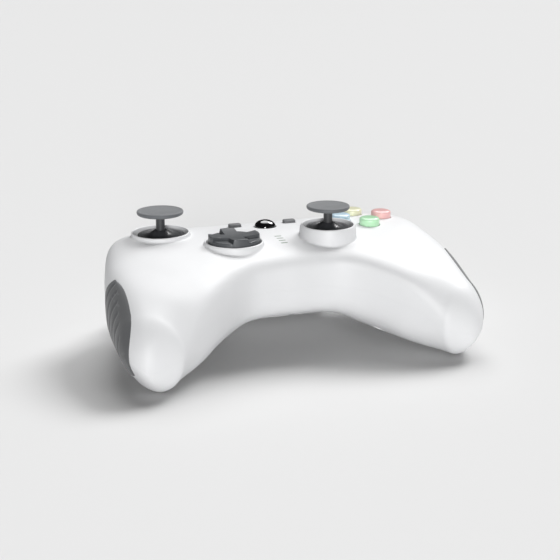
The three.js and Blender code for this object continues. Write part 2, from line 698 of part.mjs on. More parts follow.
function buildBumpers() {
  const { inside, outside, low, high, front, proud, thick } = BUMPER;
  const skin = bodyHalf(true, -proud, 0).subtract(bodyHalf(true, thick, -2, ...COARSE));
  // The far face button's flange stands where the bumper would reach it.
  const button = FACE_BUTTONS.radius + FLANGE.wide + BUMPER.travel + RUN;
  const right = skin
    .intersect(toSolid(block(inside, outside, front, 60, low, high)))
    .subtract(hole(FACE_BUTTONS.x, FACE_BUTTONS.y + FACE_BUTTONS.spread, button));
  add("right_bumper", right, WHITE);
  add("left_bumper", mirrorX(right), WHITE);
}

// Side view of a trigger: the finger face sweeps back and down from the hub to a hooked tip.
function triggerOutline() {
  const [y, z] = TRIGGER.pivot;
  const hub = 3;
  const shape = new THREE.Shape();
  shape.moveTo(y, z - hub);
  shape.quadraticCurveTo(y + 2.6, z - 3.2, y + 3.6, z - 6);
  shape.quadraticCurveTo(y + 6.4, z - 13.6, y + 13.4, z - 18.4);
  shape.quadraticCurveTo(y + 16.2, z - 20, y + 17.6, z - 18.6);
  shape.quadraticCurveTo(y + 18.3, z - 17, y + 16.2, z - 14.8);
  shape.quadraticCurveTo(y + 10.2, z - 8.4, y + 9.2, z - 1.4);
  shape.quadraticCurveTo(y + 8.6, z + 2.6, y + 5, z + 3.2);
  shape.lineTo(y + 1, z + hub);
  shape.absarc(y, z, hub, 1.25, 1.5 * Math.PI, false);
  return shape.getPoints(6);
}

function buildTriggers() {
  const { inside, outside, pivot } = TRIGGER;
  const outline = triggerOutline().map((p) => [p.x, p.y]);
  const bore = rod(PIN.radius + 0.35, inside - 5, outside + 5, 16);
  const pinHole = toSolid(place(alongX(bore), 0, pivot[0], pivot[1]));
  let right = toSolid(sidePrism(outline, inside, outside)).subtract(pinHole);
  // Hollow the back, so that the trigger is a shell with ribs at its ends.
  const hollow = [
    [-2, -9],
    [3.4, -5],
    [6.8, -11.6],
    [13, -17],
    [6, -20],
    [-2, -16],
  ].map(([y, z]) => [pivot[0] + y, pivot[1] + z]);
  right = right.subtract(toSolid(sidePrism(wound(hollow), inside + TRIGGER.rib, outside - TRIGGER.rib)));
  add("right_trigger", right, WHITE);
  add("left_trigger", mirrorX(right), WHITE);
  const middle = (inside + outside) / 2;
  const reach = middle - inside + RUN + TRIGGER.rib;
  for (const [side, sign] of [["left", -1], ["right", 1]]) {
    const pin = rod(PIN.radius, -reach, reach, 12);
    add(`${side}_trigger_pin`, place(alongX(pin), sign * middle, pivot[0], pivot[1]), STEEL);
  }
}

// ---------------------------------------------------------------- electronics, motors and battery

function buildBoard() {
  const outline = [
    [-50, -8],
    [-30, -16],
    [30, -16],
    [50, -8],
    [57, 6],
    [54, 20],
    [29, 26.5],
    [29, 30.5],
    [-29, 30.5],
    [-29, 26.5],
    [-54, 20],
    [-57, 6],
  ];
  const shape = new THREE.Shape(outline.map(([x, y]) => new THREE.Vector2(x, y)));
  let board = toSolid(plate(shape, BOARD.bottom, BOARD.bottom + BOARD.thick));
  for (const [x, y] of SCREWS) board = board.subtract(hole(x, y, 4.2, 20, 40, 12));
  add("main_board", board, CIRCUIT);
  const top = BOARD.bottom + BOARD.thick + 0.2;
  add("radio_module", block(-6, 6, 3.5, 15, top, top + 2.4), STEEL);
}

function buildMotors() {
  const { x, y, z, radius, length, weight, weightThick } = MOTOR;
  for (const [side, sign] of [["left", -1], ["right", 1]]) {
    const can = rod(radius, 0, length, 20).rotateX(Math.PI / 2);
    add(`${side}_rumble_motor`, place(can, sign * x, y + length, z), STEEL);
    const disc = new THREE.Shape();
    disc.absarc(0, 0, weight, 0, Math.PI);
    disc.absarc(0, 0, 2.2, Math.PI, 2 * Math.PI);
    const half = plate(disc, 0, weightThick, 10).rotateX(Math.PI / 2);
    add(`${side}_rumble_weight`, place(half, sign * x, y - 0.8, z), STEEL);
  }
}

function packOutline(inset, roof) {
  const { front, rear, slopeEnd, frontHeight } = PACK;
  return [
    [front + inset, frontHeight + inset * 0.9],
    [slopeEnd + inset * 0.3, inset],
    [rear - inset, inset],
    [rear - inset, roof],
    [front + inset, roof],
  ];
}

function buildBattery() {
  const { halfWidth, rear, wall, rimHeight } = PACK;
  let tray = toSolid(sidePrism(packOutline(0, rimHeight), -halfWidth, halfWidth));
  tray = tray.subtract(toSolid(sidePrism(packOutline(wall, 40), -halfWidth + wall, halfWidth - wall)));
  const latchRoom = LATCH.half + 0.5;
  tray = tray.subtract(toSolid(block(-latchRoom, latchRoom, rear - 3, rear + 2, LATCH.low - 1.6, 30)));
  add("battery_pack", tray, WHITE);
  add("battery_latch", block(-LATCH.half, LATCH.half, rear - wall, rear, LATCH.low, LATCH.high), GREY);
  const half = CELL.length / 2;
  const cellProfile = [
    [0, -half],
    [CELL.radius, -half],
    [CELL.radius, half - CELL.nubLength],
    [CELL.nub, half - CELL.nubLength],
    [CELL.nub, half],
    [0, half],
  ];
  for (const [name, [y, z]] of [["front", CELL.front], ["rear", CELL.rear]]) {
    add(`battery_cell_${name}`, place(alongX(turned(cellProfile, 20)), 0, y, z), SLEEVE);
  }
  for (const [side, sign] of [["left", -1], ["right", 1]]) {
    const [near, far] = [CELL.length / 2 + 0.4, halfWidth - wall - GAP];
    const xs = sign > 0 ? [near, far] : [-far, -near];
    add(`battery_contact_${side}`, block(xs[0], xs[1], 7.5, 32, 10, 12.5), STEEL);
  }
}

function buildScrews() {
  const { head, headRadius, headThick, shank, tip } = SCREW;
  const profile = [
    [0, head],
    [headRadius, head + 0.2],
    [headRadius, head + headThick],
    [shank, head + headThick + 0.1],
    [shank, tip - 1],
    [0, tip],
  ];
  SCREWS.forEach(([x, y], i) => add(`case_screw_${i + 1}`, place(turned(profile, 12), x, y, 0), STEEL));
}

buildShells();
buildGrips();
buildStick("left", LEFT_STICK);
buildStick("right", RIGHT_STICK);
buildPad();
buildButtons();
buildLightGuide();
buildBridge();
buildBumpers();
buildTriggers();
buildBoard();
buildMotors();
buildBattery();
buildScrews();

export default controller;
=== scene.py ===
import math

import bmesh
import bpy
import numpy as np
from bpy.props import FloatProperty, FloatVectorProperty, IntProperty, PointerProperty
from mathutils import Matrix, Vector
from mathutils.bvhtree import BVHTree


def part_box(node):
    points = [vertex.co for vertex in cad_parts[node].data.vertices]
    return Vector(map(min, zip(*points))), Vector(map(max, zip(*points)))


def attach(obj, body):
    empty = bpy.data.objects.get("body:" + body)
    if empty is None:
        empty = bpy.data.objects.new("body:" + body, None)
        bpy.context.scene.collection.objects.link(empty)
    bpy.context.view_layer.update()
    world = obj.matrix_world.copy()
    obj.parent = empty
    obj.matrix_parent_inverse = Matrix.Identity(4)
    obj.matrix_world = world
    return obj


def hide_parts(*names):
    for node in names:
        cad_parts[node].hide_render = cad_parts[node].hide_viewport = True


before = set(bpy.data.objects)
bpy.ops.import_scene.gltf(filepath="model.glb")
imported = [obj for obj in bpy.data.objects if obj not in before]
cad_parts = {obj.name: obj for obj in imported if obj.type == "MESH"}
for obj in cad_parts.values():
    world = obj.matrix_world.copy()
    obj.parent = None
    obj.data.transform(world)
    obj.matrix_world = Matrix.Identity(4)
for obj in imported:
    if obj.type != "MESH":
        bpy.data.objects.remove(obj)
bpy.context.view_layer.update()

bl_info = {
    "name": "Game Controller Parts",
    "version": (1, 0, 0),
    "blender": (4, 5, 0),
    "location": "View3D > Sidebar > Controller",
    "description": "Builds the moulded shells, controls and finishes of a two-handed game controller",
    "category": "Add Mesh",
}

MM = 0.001
CASE = "case"

# Sections of the body, from the middle to the right handle, in millimetres. Each is a vertical cut from an
# inner point on the player's side to an outer point on the far side: plan points, then the heights at those
# two ends and the bulge between them for the top and for the bottom, then the heights of the joint.
SECTIONS = (
    ((0, -21.6), (0, 38), (41.8, 43, 2.6), (14.4, 13, 0.4), (28, 27)),
    ((9.5, -21.6), (18, 38.2), (41.8, 43, 2.6), (14.4, 13, 0.4), (28, 27)),
    ((18.5, -22.8), (36, 37.2), (41.8, 43.8, 2), (13.8, 11, 1.8), (27.5, 26.5)),
    ((26, -26.4), (54, 32.4), (41.2, 45, 1.6), (11.6, 9, 5), (26.5, 26)),
    ((33.5, -31.8), (67, 22), (38.8, 45, 1.6), (8.6, 7, 5.6), (25, 25.5)),
    ((41, -37.8), (72.6, 5), (35.6, 40.4, 1.8), (5, 6.4, 4), (22, 24)),
    ((47.8, -43.2), (75.2, -13), (32, 35.4, 2), (2, 6.6, 3), (18.5, 22)),
    ((53.2, -47.8), (75.6, -32.2), (26.8, 29, 2), (0.6, 7.6, 3.2), (14.5, 19)),
)
TIP_REACH = 1.7
NOSE_HEIGHT = 10
TOP_SQUARENESS = (6.5, 6.4)
BOTTOM_SQUARENESS = (4.4, 2.5)
END_SQUARENESS = 2.3
ROUND_FROM = 4.5
WALL = 2.2


# ------------------------------------------------------------------ what a user can set


class ControllerShape(bpy.types.PropertyGroup):
    """Sizes of the details that the fine meshes add to the frame."""

    seam: FloatProperty(
        name="Seam", description="Half the gap between the two shells", default=0.00001, unit="LENGTH"
    )
    flare: FloatProperty(
        name="Collar Fillet", description="Fillet between a collar's foot and the shell", default=0.0008,
        unit="LENGTH"
    )
    button_lip: FloatProperty(
        name="Button Lip", description="Width of the raised lip round a face button", default=0.0011,
        unit="LENGTH"
    )
    edge: FloatProperty(
        name="Edge Radius", description="Rounding of moulded edges", default=0.0004, unit="LENGTH"
    )
    grooves: IntProperty(
        name="Grip Grooves", description="Curved grooves in each grip panel", default=7, min=0, max=16
    )
    groove_depth: FloatProperty(
        name="Groove Depth", description="Depth of a grip groove", default=0.0004, unit="LENGTH"
    )


class ControllerFinish(bpy.types.PropertyGroup):
    """Colours of the moulded parts, as linear RGB."""

    shell: FloatVectorProperty(
        name="Shell", description="White plastic of the shells", default=(0.75, 0.755, 0.765),
        subtype="COLOR", size=3
    )
    stick: FloatVectorProperty(
        name="Stick", description="Rubber of the thumb caps", default=(0.115, 0.122, 0.13), subtype="COLOR",
        size=3
    )
    pad: FloatVectorProperty(
        name="Pad", description="Plastic of the directional pad", default=(0.062, 0.067, 0.073),
        subtype="COLOR", size=3
    )
    grip: FloatVectorProperty(
        name="Grip", description="Rubber of the grip panels", default=(0.1, 0.103, 0.107), subtype="COLOR",
        size=3
    )
    green: FloatVectorProperty(
        name="Green", description="Near face button", default=(0.52, 0.84, 0.55), subtype="COLOR", size=3
    )
    red: FloatVectorProperty(
        name="Red", description="Right face button", default=(0.88, 0.53, 0.52), subtype="COLOR", size=3
    )
    blue: FloatVectorProperty(
        name="Blue", description="Left face button", default=(0.58, 0.75, 0.86), subtype="COLOR", size=3
    )
    yellow: FloatVectorProperty(
        name="Yellow", description="Far face button", default=(0.82, 0.81, 0.58), subtype="COLOR", size=3
    )


class ControllerStage(bpy.types.PropertyGroup):
    """Floor, lights and camera."""

    floor: FloatVectorProperty(
        name="Floor", description="Colour of the floor", default=(0.7, 0.7, 0.7), subtype="COLOR", size=3
    )
    key: FloatProperty(name="Key Light", description="Strength of the light from the right", default=2.45,
                       min=0)
    front: FloatProperty(name="Front Light", description="Strength of the low light in front", default=2.3,
                         min=0)
    soft: FloatProperty(name="Soft Light", description="Strength of the light from above", default=1.75,
                        min=0)
    key_spread: FloatProperty(
        name="Key Spread", description="Angular size of the key light", default=math.radians(24),
        subtype="ANGLE"
    )
    soft_spread: FloatProperty(
        name="Soft Spread", description="Angular size of the soft light", default=math.radians(40),
        subtype="ANGLE"
    )
    front_spread: FloatProperty(
        name="Front Spread", description="Angular size of the front light", default=math.radians(16),
        subtype="ANGLE"
    )
    ambient: FloatProperty(name="Ambient", description="Strength of the room's light", default=0.02, min=0)


# ------------------------------------------------------------------ the body's surface


def all_sections():
    """The sections from the left handle to the right one, one row of 13 numbers each."""
    half = [[*s[0], *s[1], *s[2], *s[3], *s[4]] for s in SECTIONS]
    mirrored = [[-s[0], s[1], -s[2], *s[3:]] for s in half[:0:-1]]
    return np.array(mirrored + half, dtype=float)


ROWS = all_sections()
LAST = len(ROWS) - 1
RUN_ON = (ROWS[LAST] - ROWS[LAST - 1]) / 2
RUN_ON_LENGTH = math.hypot((RUN_ON[0] + RUN_ON[2]) / 2, (RUN_ON[1] + RUN_ON[3]) / 2)


def section_at(along):
    """The section at a place between the given ones, by a Catmull-Rom spline."""
    along = np.asarray(along, dtype=float)
    i = np.minimum(np.floor(along).astype(int), LAST - 1)
    t = (along - i)[:, None]
    a, b, c, d = (ROWS[np.clip(i + k, 0, LAST)] for k in (-1, 0, 1, 2))
    return 0.5 * (
        2 * b + (c - a) * t + (2 * a - 5 * b + 4 * c - d) * t**2 + (3 * b - a - 3 * c + d) * t**3
    )


def body_grid(upper, inset, lift, per_section, rows, tip_steps):
    """Points of the body's surface, inset by so much, above its joint (upper) or below it."""
    tips = np.linspace(0, math.pi / 2, tip_steps + 1)[1:]
    along = np.concatenate([np.zeros(tip_steps), np.arange(LAST * per_section + 1) / per_section,
                            np.full(tip_steps, LAST)])
    tip = np.concatenate([tips[::-1], np.zeros(LAST * per_section + 1), tips])[:, None]
    across = 0.5 - 0.5 * np.cos(math.pi * np.arange(rows + 1) / rows)[None, :]
    swing = np.cos(tip)
    side = np.where(along < LAST / 2, -1, 1)[:, None]
    run_on = np.repeat(RUN_ON[None, :], len(along), axis=0)
    run_on[:, [0, 2]] *= side
    s = section_at(along) + run_on * np.sin(tip) * (TIP_REACH - inset / RUN_ON_LENGTH)
    ix, iy, ox, oy, ti, to, crown, bi, bo, belly, pi, po = (s[:, k : k + 1] for k in range(12))
    offset = (across - 0.5) * (1 - 2 * inset / np.hypot(ox - ix, oy - iy)) * swing
    x = (ix + ox) / 2 + (ox - ix) * offset
    y = (iy + oy) / 2 + (oy - iy) * offset
    bulge = 4 * across * (1 - across)
    joint = (pi + po) / 2 + (po - pi) * (across - 0.5) * swing
    parting = NOSE_HEIGHT + (joint - NOSE_HEIGHT) * swing + lift
    if upper:
        surface, powers = ti + (to - ti) * across + crown * bulge - inset, TOP_SQUARENESS
    else:
        surface, powers = bi + (bo - bi) * across - belly * bulge + inset, BOTTOM_SQUARENESS
    near_end = np.clip((np.abs(along - LAST / 2)[:, None] - ROUND_FROM) / (LAST / 2 - ROUND_FROM), 0, 1)
    near_end = near_end * near_end * (3 - 2 * near_end)
    power = np.where(across < 0.5, powers[0], powers[1])
    power = power + (END_SQUARENESS - power) * near_end
    shoulder = np.clip(1 - np.abs(2 * across - 1) ** power, 0, None) ** (1 / power)
    z = np.maximum(parting + (surface - parting) * shoulder * swing, inset)
    return np.stack([x, y, np.broadcast_to(z, x.shape)], axis=2)


def grid_faces(columns, rows, first, flip):
    """Quads over a grid of points that is stored column by column from index first."""
    faces = []
    for c in range(columns - 1):
        for r in range(rows - 1):
            a = first + c * rows + r
            quad = (a, a + rows, a + rows + 1, a + 1)
            faces.append(quad[::-1] if flip else quad)
    return faces


def half_shell(upper, outset, depth, lift, per_section=9, rows=44, tip_steps=14):
    """One shell as a closed solid: its outer surface, its inner surface and the strips that join them."""
    sign = 1 if upper else -1
    outer = body_grid(upper, -outset, sign * lift, per_section, rows, tip_steps)
    inner = body_grid(upper, depth, sign * lift, per_section, rows, tip_steps)
    columns, count = outer.shape[0], rows + 1
    vertices = np.concatenate([outer.reshape(-1, 3), inner.reshape(-1, 3)])
    start = columns * count
    faces = grid_faces(columns, count, 0, not upper) + grid_faces(columns, count, start, upper)
    for edge in (0, rows):
        for c in range(columns - 1):
            a, b = c * count + edge, (c + 1) * count + edge
            faces.append((a, b, start + b, start + a))
    return vertices, faces


class BodySurface:
    """The body's outer surface, for placing pieces on it. Everything here is in millimetres."""

    def __init__(self):
        self.trees = {}
        for upper in (True, False):
            grid = body_grid(upper, 0, 0, 9, 44, 14)
            points = [Vector(p) for p in grid.reshape(-1, 3)]
            self.trees[upper] = BVHTree.FromPolygons(points, grid_faces(grid.shape[0], 45, 0, not upper))

    def height(self, x, y):
        """Height of the face over a point in plan."""
        hit = self.trees[True].ray_cast(Vector((x, y, 100)), Vector((0, 0, -1)))
        return hit[0].z if hit[0] else 0.0

    def flank(self, side, y, z):
        """The point and the outward normal of a handle's outer side at a place in the side view."""
        best = None
        for tree in self.trees.values():
            point, normal, _, distance = tree.ray_cast(Vector((side * 120, y, z)), Vector((-side, 0, 0)))
            if point and (best is None or distance < best[2]):
                best = (point, normal if normal.x * side > 0 else -normal, distance)
        return best[0], best[1]


SURFACE = BodySurface()


# ------------------------------------------------------------------ mesh helpers


def make_piece(name, vertices, faces, material, body=CASE, nodes=(), slot=None, angle=35, scale=MM):
    """A mesh object from points in millimetres, smooth-shaded, riding on a body."""
    mesh = bpy.data.meshes.new(name)
    mesh.from_pydata([tuple(c * scale for c in v) for v in vertices], [], faces)
    piece = bpy.data.objects.new(name, mesh)
    bpy.context.scene.collection.objects.link(piece)
    mesh.materials.append(material)
    clean(piece, angle)
    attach(piece, body)
    if nodes:
        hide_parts(*nodes)
    return piece


def clean(piece, angle=35):
    """Merges doubled points, turns the faces outwards and shades them smooth up to an angle."""
    bm = bmesh.new()
    bm.from_mesh(piece.data)
    bmesh.ops.remove_doubles(bm, verts=bm.verts, dist=2e-7)
    bmesh.ops.dissolve_degenerate(bm, edges=bm.edges, dist=1e-8)
    bmesh.ops.recalc_face_normals(bm, faces=bm.faces)
    bm.to_mesh(piece.data)
    bm.free()
    piece.data.shade_smooth()
    piece.data.set_sharp_from_angle(angle=math.radians(angle))


def fillet(points, steps=6):
    """A profile whose corners are rounded. Each point is (radius, height) or (radius, height, rounding)."""
    out = []
    for i, point in enumerate(points):
        rounding = point[2] if len(point) > 2 else 0
        if not rounding or i in (0, len(points) - 1):
            out.append(point[:2])
            continue
        p = np.array(point[:2], dtype=float)
        a = np.array(points[i - 1][:2], dtype=float) - p
        b = np.array(points[i + 1][:2], dtype=float) - p
        reach = min(rounding, np.linalg.norm(a) * 0.49, np.linalg.norm(b) * 0.49)
        a, b = p + a / np.linalg.norm(a) * reach, p + b / np.linalg.norm(b) * reach
        for t in np.linspace(0, 1, steps + 1):
            out.append(tuple((1 - t) ** 2 * a + 2 * t * (1 - t) * p + t * t * b))
    return out


def lathe(profile, centre, segments=96, closed=False):
    """Points and faces of a turned solid about an upright axis. A closed profile makes a ring."""
    cx, cy = centre
    vertices, faces = [], []
    turns = [(math.cos(a), math.sin(a)) for a in (2 * math.pi * k / segments for k in range(segments))]
    rings = []
    for radius, height in profile:
        if radius < 1e-6:
            rings.append([len(vertices)])
            vertices.append((cx, cy, height))
        else:
            rings.append(list(range(len(vertices), len(vertices) + segments)))
            vertices += [(cx + radius * c, cy + radius * s, height) for c, s in turns]
    pairs = list(zip(rings, rings[1:] + ([rings[0]] if closed else [])))
    for low, high in pairs[: len(rings) if closed else len(rings) - 1]:
        for k in range(segments):
            n = (k + 1) % segments
            if len(low) == 1 and len(high) == 1:
                continue
            if len(low) == 1:
                faces.append((low[0], high[n], high[k]))
            elif len(high) == 1:
                faces.append((low[k], low[n], high[0]))
            else:
                faces.append((low[k], low[n], high[n], high[k]))
    return vertices, faces


def prism(outline, low, high, axis="z"):
    """A solid between two copies of an outline, along z, or along x from a side view of (y, z) points."""
    count = len(outline)
    if axis == "z":
        vertices = [(a, b, low) for a, b in outline] + [(a, b, high) for a, b in outline]
    else:
        vertices = [(low, a, b) for a, b in outline] + [(high, a, b) for a, b in outline]
    faces = [tuple(range(count))[::-1], tuple(range(count, 2 * count))]
    faces += [(k, (k + 1) % count, count + (k + 1) % count, count + k) for k in range(count)]
    return vertices, faces


def box_solid(x0, x1, y0, y1, z0, z1):
    return prism([(x0, y0), (x1, y0), (x1, y1), (x0, y1)], z0, z1)


def rounded_rectangle(x, y, width, depth, radius, steps=6):
    """Outline of a rectangle with round corners."""
    points = []
    for sx, sy, start in ((1, -1, -90), (1, 1, 0), (-1, 1, 90), (-1, -1, 180)):
        cx, cy = x + sx * (width / 2 - radius), y + sy * (depth / 2 - radius)
        for k in range(steps + 1):
            a = math.radians(start + 90 * k / steps)
            points.append((cx + radius * math.cos(a), cy + radius * math.sin(a)))
    return points


def rod_along_y(x, z, radius, y0, y1, segments=48):
    """A solid rod that points away from the player."""
    ring = [(x + radius * math.cos(a), z + radius * math.sin(a))
            for a in (2 * math.pi * k / segments for k in range(segments))]
    vertices = [(a, y0, b) for a, b in ring] + [(a, y1, b) for a, b in ring]
    faces = [tuple(range(segments)), tuple(range(segments, 2 * segments))[::-1]]
    faces += [(k, segments + k, segments + (k + 1) % segments, (k + 1) % segments) for k in range(segments)]
    return vertices, faces


def mirror_x(solid):
    vertices, faces = solid
    return [(-x, y, z) for x, y, z in vertices], [tuple(f)[::-1] for f in faces]


def combine(solids):
    vertices, faces = [], []
    for points, quads in solids:
        start = len(vertices)
        vertices += list(points)
        faces += [tuple(start + k for k in quad) for quad in quads]
    return vertices, faces


def boolean(piece, solids, operation="DIFFERENCE", angle=35):
    """Cuts, joins or intersects a piece with solids that don't touch each other."""
    vertices, faces = combine(solids)
    mesh = bpy.data.meshes.new("tool")
    mesh.from_pydata([tuple(c * MM for c in v) for v in vertices], [], faces)
    tool = bpy.data.objects.new("tool", mesh)
    bpy.context.scene.collection.objects.link(tool)
    clean(tool)
    modifier = piece.modifiers.new("cut", "BOOLEAN")
    modifier.operation = operation
    modifier.solver = "EXACT"
    modifier.object = tool
    apply_modifiers(piece)
    bpy.data.objects.remove(tool)
    bpy.data.meshes.remove(mesh)
    clean(piece, angle)


def apply_modifiers(piece):
    graph = bpy.context.evaluated_depsgraph_get()
    old = piece.data
    piece.data = bpy.data.meshes.new_from_object(piece.evaluated_get(graph))
    piece.modifiers.clear()
    bpy.data.meshes.remove(old)


def soften(piece, width_mm, segments=3, limit=40):
    """Rounds the sharp edges of a piece."""
    bevel = piece.modifiers.new("soften", "BEVEL")
    bevel.width = width_mm * MM
    bevel.segments = segments
    bevel.limit_method = "ANGLE"
    bevel.angle_limit = math.radians(limit)
    bevel.use_clamp_overlap = True
    apply_modifiers(piece)
    clean(piece, 40)


def node_box(name):
    """Lowest and highest corner of a frame node, in millimetres."""
    low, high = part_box(name)
    return [c / MM for c in low], [c / MM for c in high]


def node_middle(name):
    low, high = node_box(name)
    return [(a + b) / 2 for a, b in zip(low, high)]


# ------------------------------------------------------------------ finishes


def moulded(name, colour, roughness=0.4, grain=0.25, depth=0.004, mottle=0.03, coat=0.0, metallic=0.0,
            subsurface=0.0, sheen=0.0, smudge=0.08, wear=0.0):
    """A moulded finish: fine grain in the bump, broad variation in the colour and patches in the roughness.

    grain is the grain's size and depth its height, both in millimetres."""
    material = bpy.data.materials.new(name)
    material.use_nodes = True
    nodes, links = material.node_tree.nodes, material.node_tree.links
    shader = nodes["Principled BSDF"]
    shader.inputs["Metallic"].default_value = metallic
    shader.inputs["Coat Weight"].default_value = coat
    shader.inputs["Coat Roughness"].default_value = 0.08
    shader.inputs["Subsurface Weight"].default_value = subsurface
    shader.inputs["Subsurface Radius"].default_value = (0.0014, 0.0013, 0.0012)
    shader.inputs["Subsurface Scale"].default_value = 1.0
    shader.inputs["Sheen Weight"].default_value = sheen
    place = nodes.new("ShaderNodeTexCoord")

    def noise(size_mm, detail):
        node = nodes.new("ShaderNodeTexNoise")
        node.inputs["Scale"].default_value = 1 / (size_mm * MM)
        node.inputs["Detail"].default_value = detail
        links.new(place.outputs["Object"], node.inputs["Vector"])
        return node.outputs["Fac"]

    def remap(value, low, high, from_low=0.3, from_high=0.7):
        node = nodes.new("ShaderNodeMapRange")
        node.inputs["From Min"].default_value = from_low
        node.inputs["From Max"].default_value = from_high
        node.inputs["To Min"].default_value = low
        node.inputs["To Max"].default_value = high
        links.new(value, node.inputs["Value"])
        return node.outputs["Result"]

    mix = nodes.new("ShaderNodeMix")
    mix.data_type = "RGBA"
    mix.inputs["A"].default_value = (*[c * (1 - mottle) for c in colour], 1)
    mix.inputs["B"].default_value = (*[min(1, c * (1 + mottle)) for c in colour], 1)
    links.new(remap(noise(9, 3), 0, 1), mix.inputs["Factor"])
    tint = mix.outputs["Result"]
    if wear:
        edges = nodes.new("ShaderNodeNewGeometry")
        worn = nodes.new("ShaderNodeMix")
        worn.data_type = "RGBA"
        worn.inputs["B"].default_value = (*[min(1, c * (1 + wear) + 0.02) for c in colour], 1)
        links.new(remap(edges.outputs["Pointiness"], 0, 1, 0.5, 0.62), worn.inputs["Factor"])
        links.new(tint, worn.inputs["A"])
        tint = worn.outputs["Result"]
    links.new(tint, shader.inputs["Base Color"])
    links.new(remap(noise(4, 4), roughness * (1 - smudge), roughness * (1 + smudge)),
              shader.inputs["Roughness"])
    bump = nodes.new("ShaderNodeBump")
    bump.inputs["Strength"].default_value = 0.6
    bump.inputs["Distance"].default_value = depth * MM
    links.new(noise(grain, 2), bump.inputs["Height"])
    links.new(bump.outputs["Normal"], shader.inputs["Normal"])
    return material


FINISHES = {}


def build_finishes(finish):
    """One material for each finish, shared by the pieces that have it."""
    FINISHES.update(
        shell=moulded("shell_plastic", finish.shell, 0.5, grain=0.3, depth=0.003, mottle=0.008),
        stick=moulded("stick_rubber", finish.stick, 0.62, grain=0.16, depth=0.012, mottle=0.06, sheen=0.15,
                      wear=0.2),
        lever=moulded("lever_plastic", (0.05, 0.052, 0.055), 0.4, grain=0.2, depth=0.004, wear=0.3),
        skirt=moulded("skirt_plastic", (0.042, 0.044, 0.048), 0.36, grain=0.2, depth=0.003, coat=0.15),
        pad=moulded("pad_plastic", finish.pad, 0.46, grain=0.18, depth=0.006, mottle=0.04, coat=0.1,
                    wear=0.25),
        grip=moulded("grip_rubber", finish.grip, 0.66, grain=0.2, depth=0.014, mottle=0.06, sheen=0.2,
                     wear=0.15),
        green=moulded("green_cap", finish.green, 0.3, grain=0.5, depth=0.001, coat=0.4, subsurface=0.25),
        red=moulded("red_cap", finish.red, 0.3, grain=0.5, depth=0.001, coat=0.4, subsurface=0.25),
        blue=moulded("blue_cap", finish.blue, 0.3, grain=0.5, depth=0.001, coat=0.4, subsurface=0.25),
        yellow=moulded("yellow_cap", finish.yellow, 0.3, grain=0.5, depth=0.001, coat=0.4, subsurface=0.25),
        dome=moulded("dome_black", (0.004, 0.004, 0.0045), 0.12, grain=0.8, depth=0.0008, coat=1.0),
        menu=moulded("menu_plastic", (0.13, 0.133, 0.138), 0.5, grain=0.2, depth=0.005, wear=0.25),
        trim=moulded("trim_plastic", (0.2, 0.205, 0.21), 0.4, grain=0.25, depth=0.004, coat=0.1),
        window=moulded("light_window", (0.3, 0.37, 0.3), 0.3, grain=0.4, depth=0.002, subsurface=0.2),
        steel=moulded("bright_steel", (0.56, 0.57, 0.58), 0.3, grain=0.12, depth=0.003, metallic=1.0,
                      smudge=0.25),
        silicone=moulded("silicone", (0.5, 0.51, 0.52), 0.6, grain=0.4, depth=0.006, subsurface=0.1),
        circuit=moulded("solder_mask", (0.015, 0.11, 0.045), 0.35, grain=1.2, depth=0.01, mottle=0.35,
                        coat=0.3),
        cell=moulded("cell_sleeve", (0.05, 0.12, 0.28), 0.32, grain=0.6, depth=0.002, coat=0.3),
        inner=moulded("inner_plastic", (0.05, 0.052, 0.056), 0.5, grain=0.3, depth=0.006),
    )


def finish_node(name, key):
    """Gives a frame node that keeps its own shape a better material."""
    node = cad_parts[name]
    for k in range(max(1, len(node.material_slots))):
        if not node.material_slots:
            node.data.materials.append(FINISHES[key])
        else:
            node.material_slots[k].material = FINISHES[key]


# ------------------------------------------------------------------ shells


def well_places():
    """Centre in plan, rim height and inner radius of the three wells in the face."""
    places = []
    for node, spare, rim_drop in (("left_stick_skirt", 1.8, 0.9), ("right_stick_skirt", 1.67, 0.9),
                                  ("direction_pad", 0.8, 3.0)):
        low, high = node_box(node)
        x, y = (low[0] + high[0]) / 2, (low[1] + high[1]) / 2
        places.append((x, y, high[2] - rim_drop, (high[0] - low[0]) / 2 + spare))
    return places


def button_places():
    """Name, centre, cap radius, top height and finish of the four face buttons."""
    rows = []
    for name, key in (("face_button_near", "green"), ("face_button_right", "red"),
                      ("face_button_left", "blue"), ("face_button_far", "yellow")):
        low, high = node_box(name)
        rows.append((name, (low[0] + high[0]) / 2, (low[1] + high[1]) / 2, (high[0] - low[0]) / 2 - 0.8,
                     high[2], key))
    return rows


def face_holes():
    """Tools for every opening in the face."""
    tools = [lathe([(0, 28), (r + 0.3, 28), (r + 0.3, 70), (0, 70)], (x, y), 96) for x, y, _,
             r in well_places()]
    for _, x, y, radius, _, _ in button_places():
        tools.append(lathe([(0, 28), (radius + 0.35, 28), (radius + 0.35, 70), (0, 70)], (x, y), 72))
    x, y, _ = node_middle("guide_button")
    tools.append(lathe([(0, 28), (5.05, 28), (5.05, 70), (0, 70)], (x, y), 72))
    for name in ("back_button", "start_button"):
        low, high = node_box(name)
        x, y = (low[0] + high[0]) / 2, (low[1] + high[1]) / 2
        outline = rounded_rectangle(x, y, high[0] - low[0] - 1.6 + 0.5, high[1] - low[1] - 1.6 + 0.5, 1.2)
        tools.append(prism(outline, 34, 60))
    low, high = node_box("light_guide")
    pitch = 2.77
    for k in range(4):
        y = low[1] + 1.6 + k * pitch
        tools.append(prism(rounded_rectangle(0, y, 2.95, 0.9, 0.4), 34, 60))
    return tools


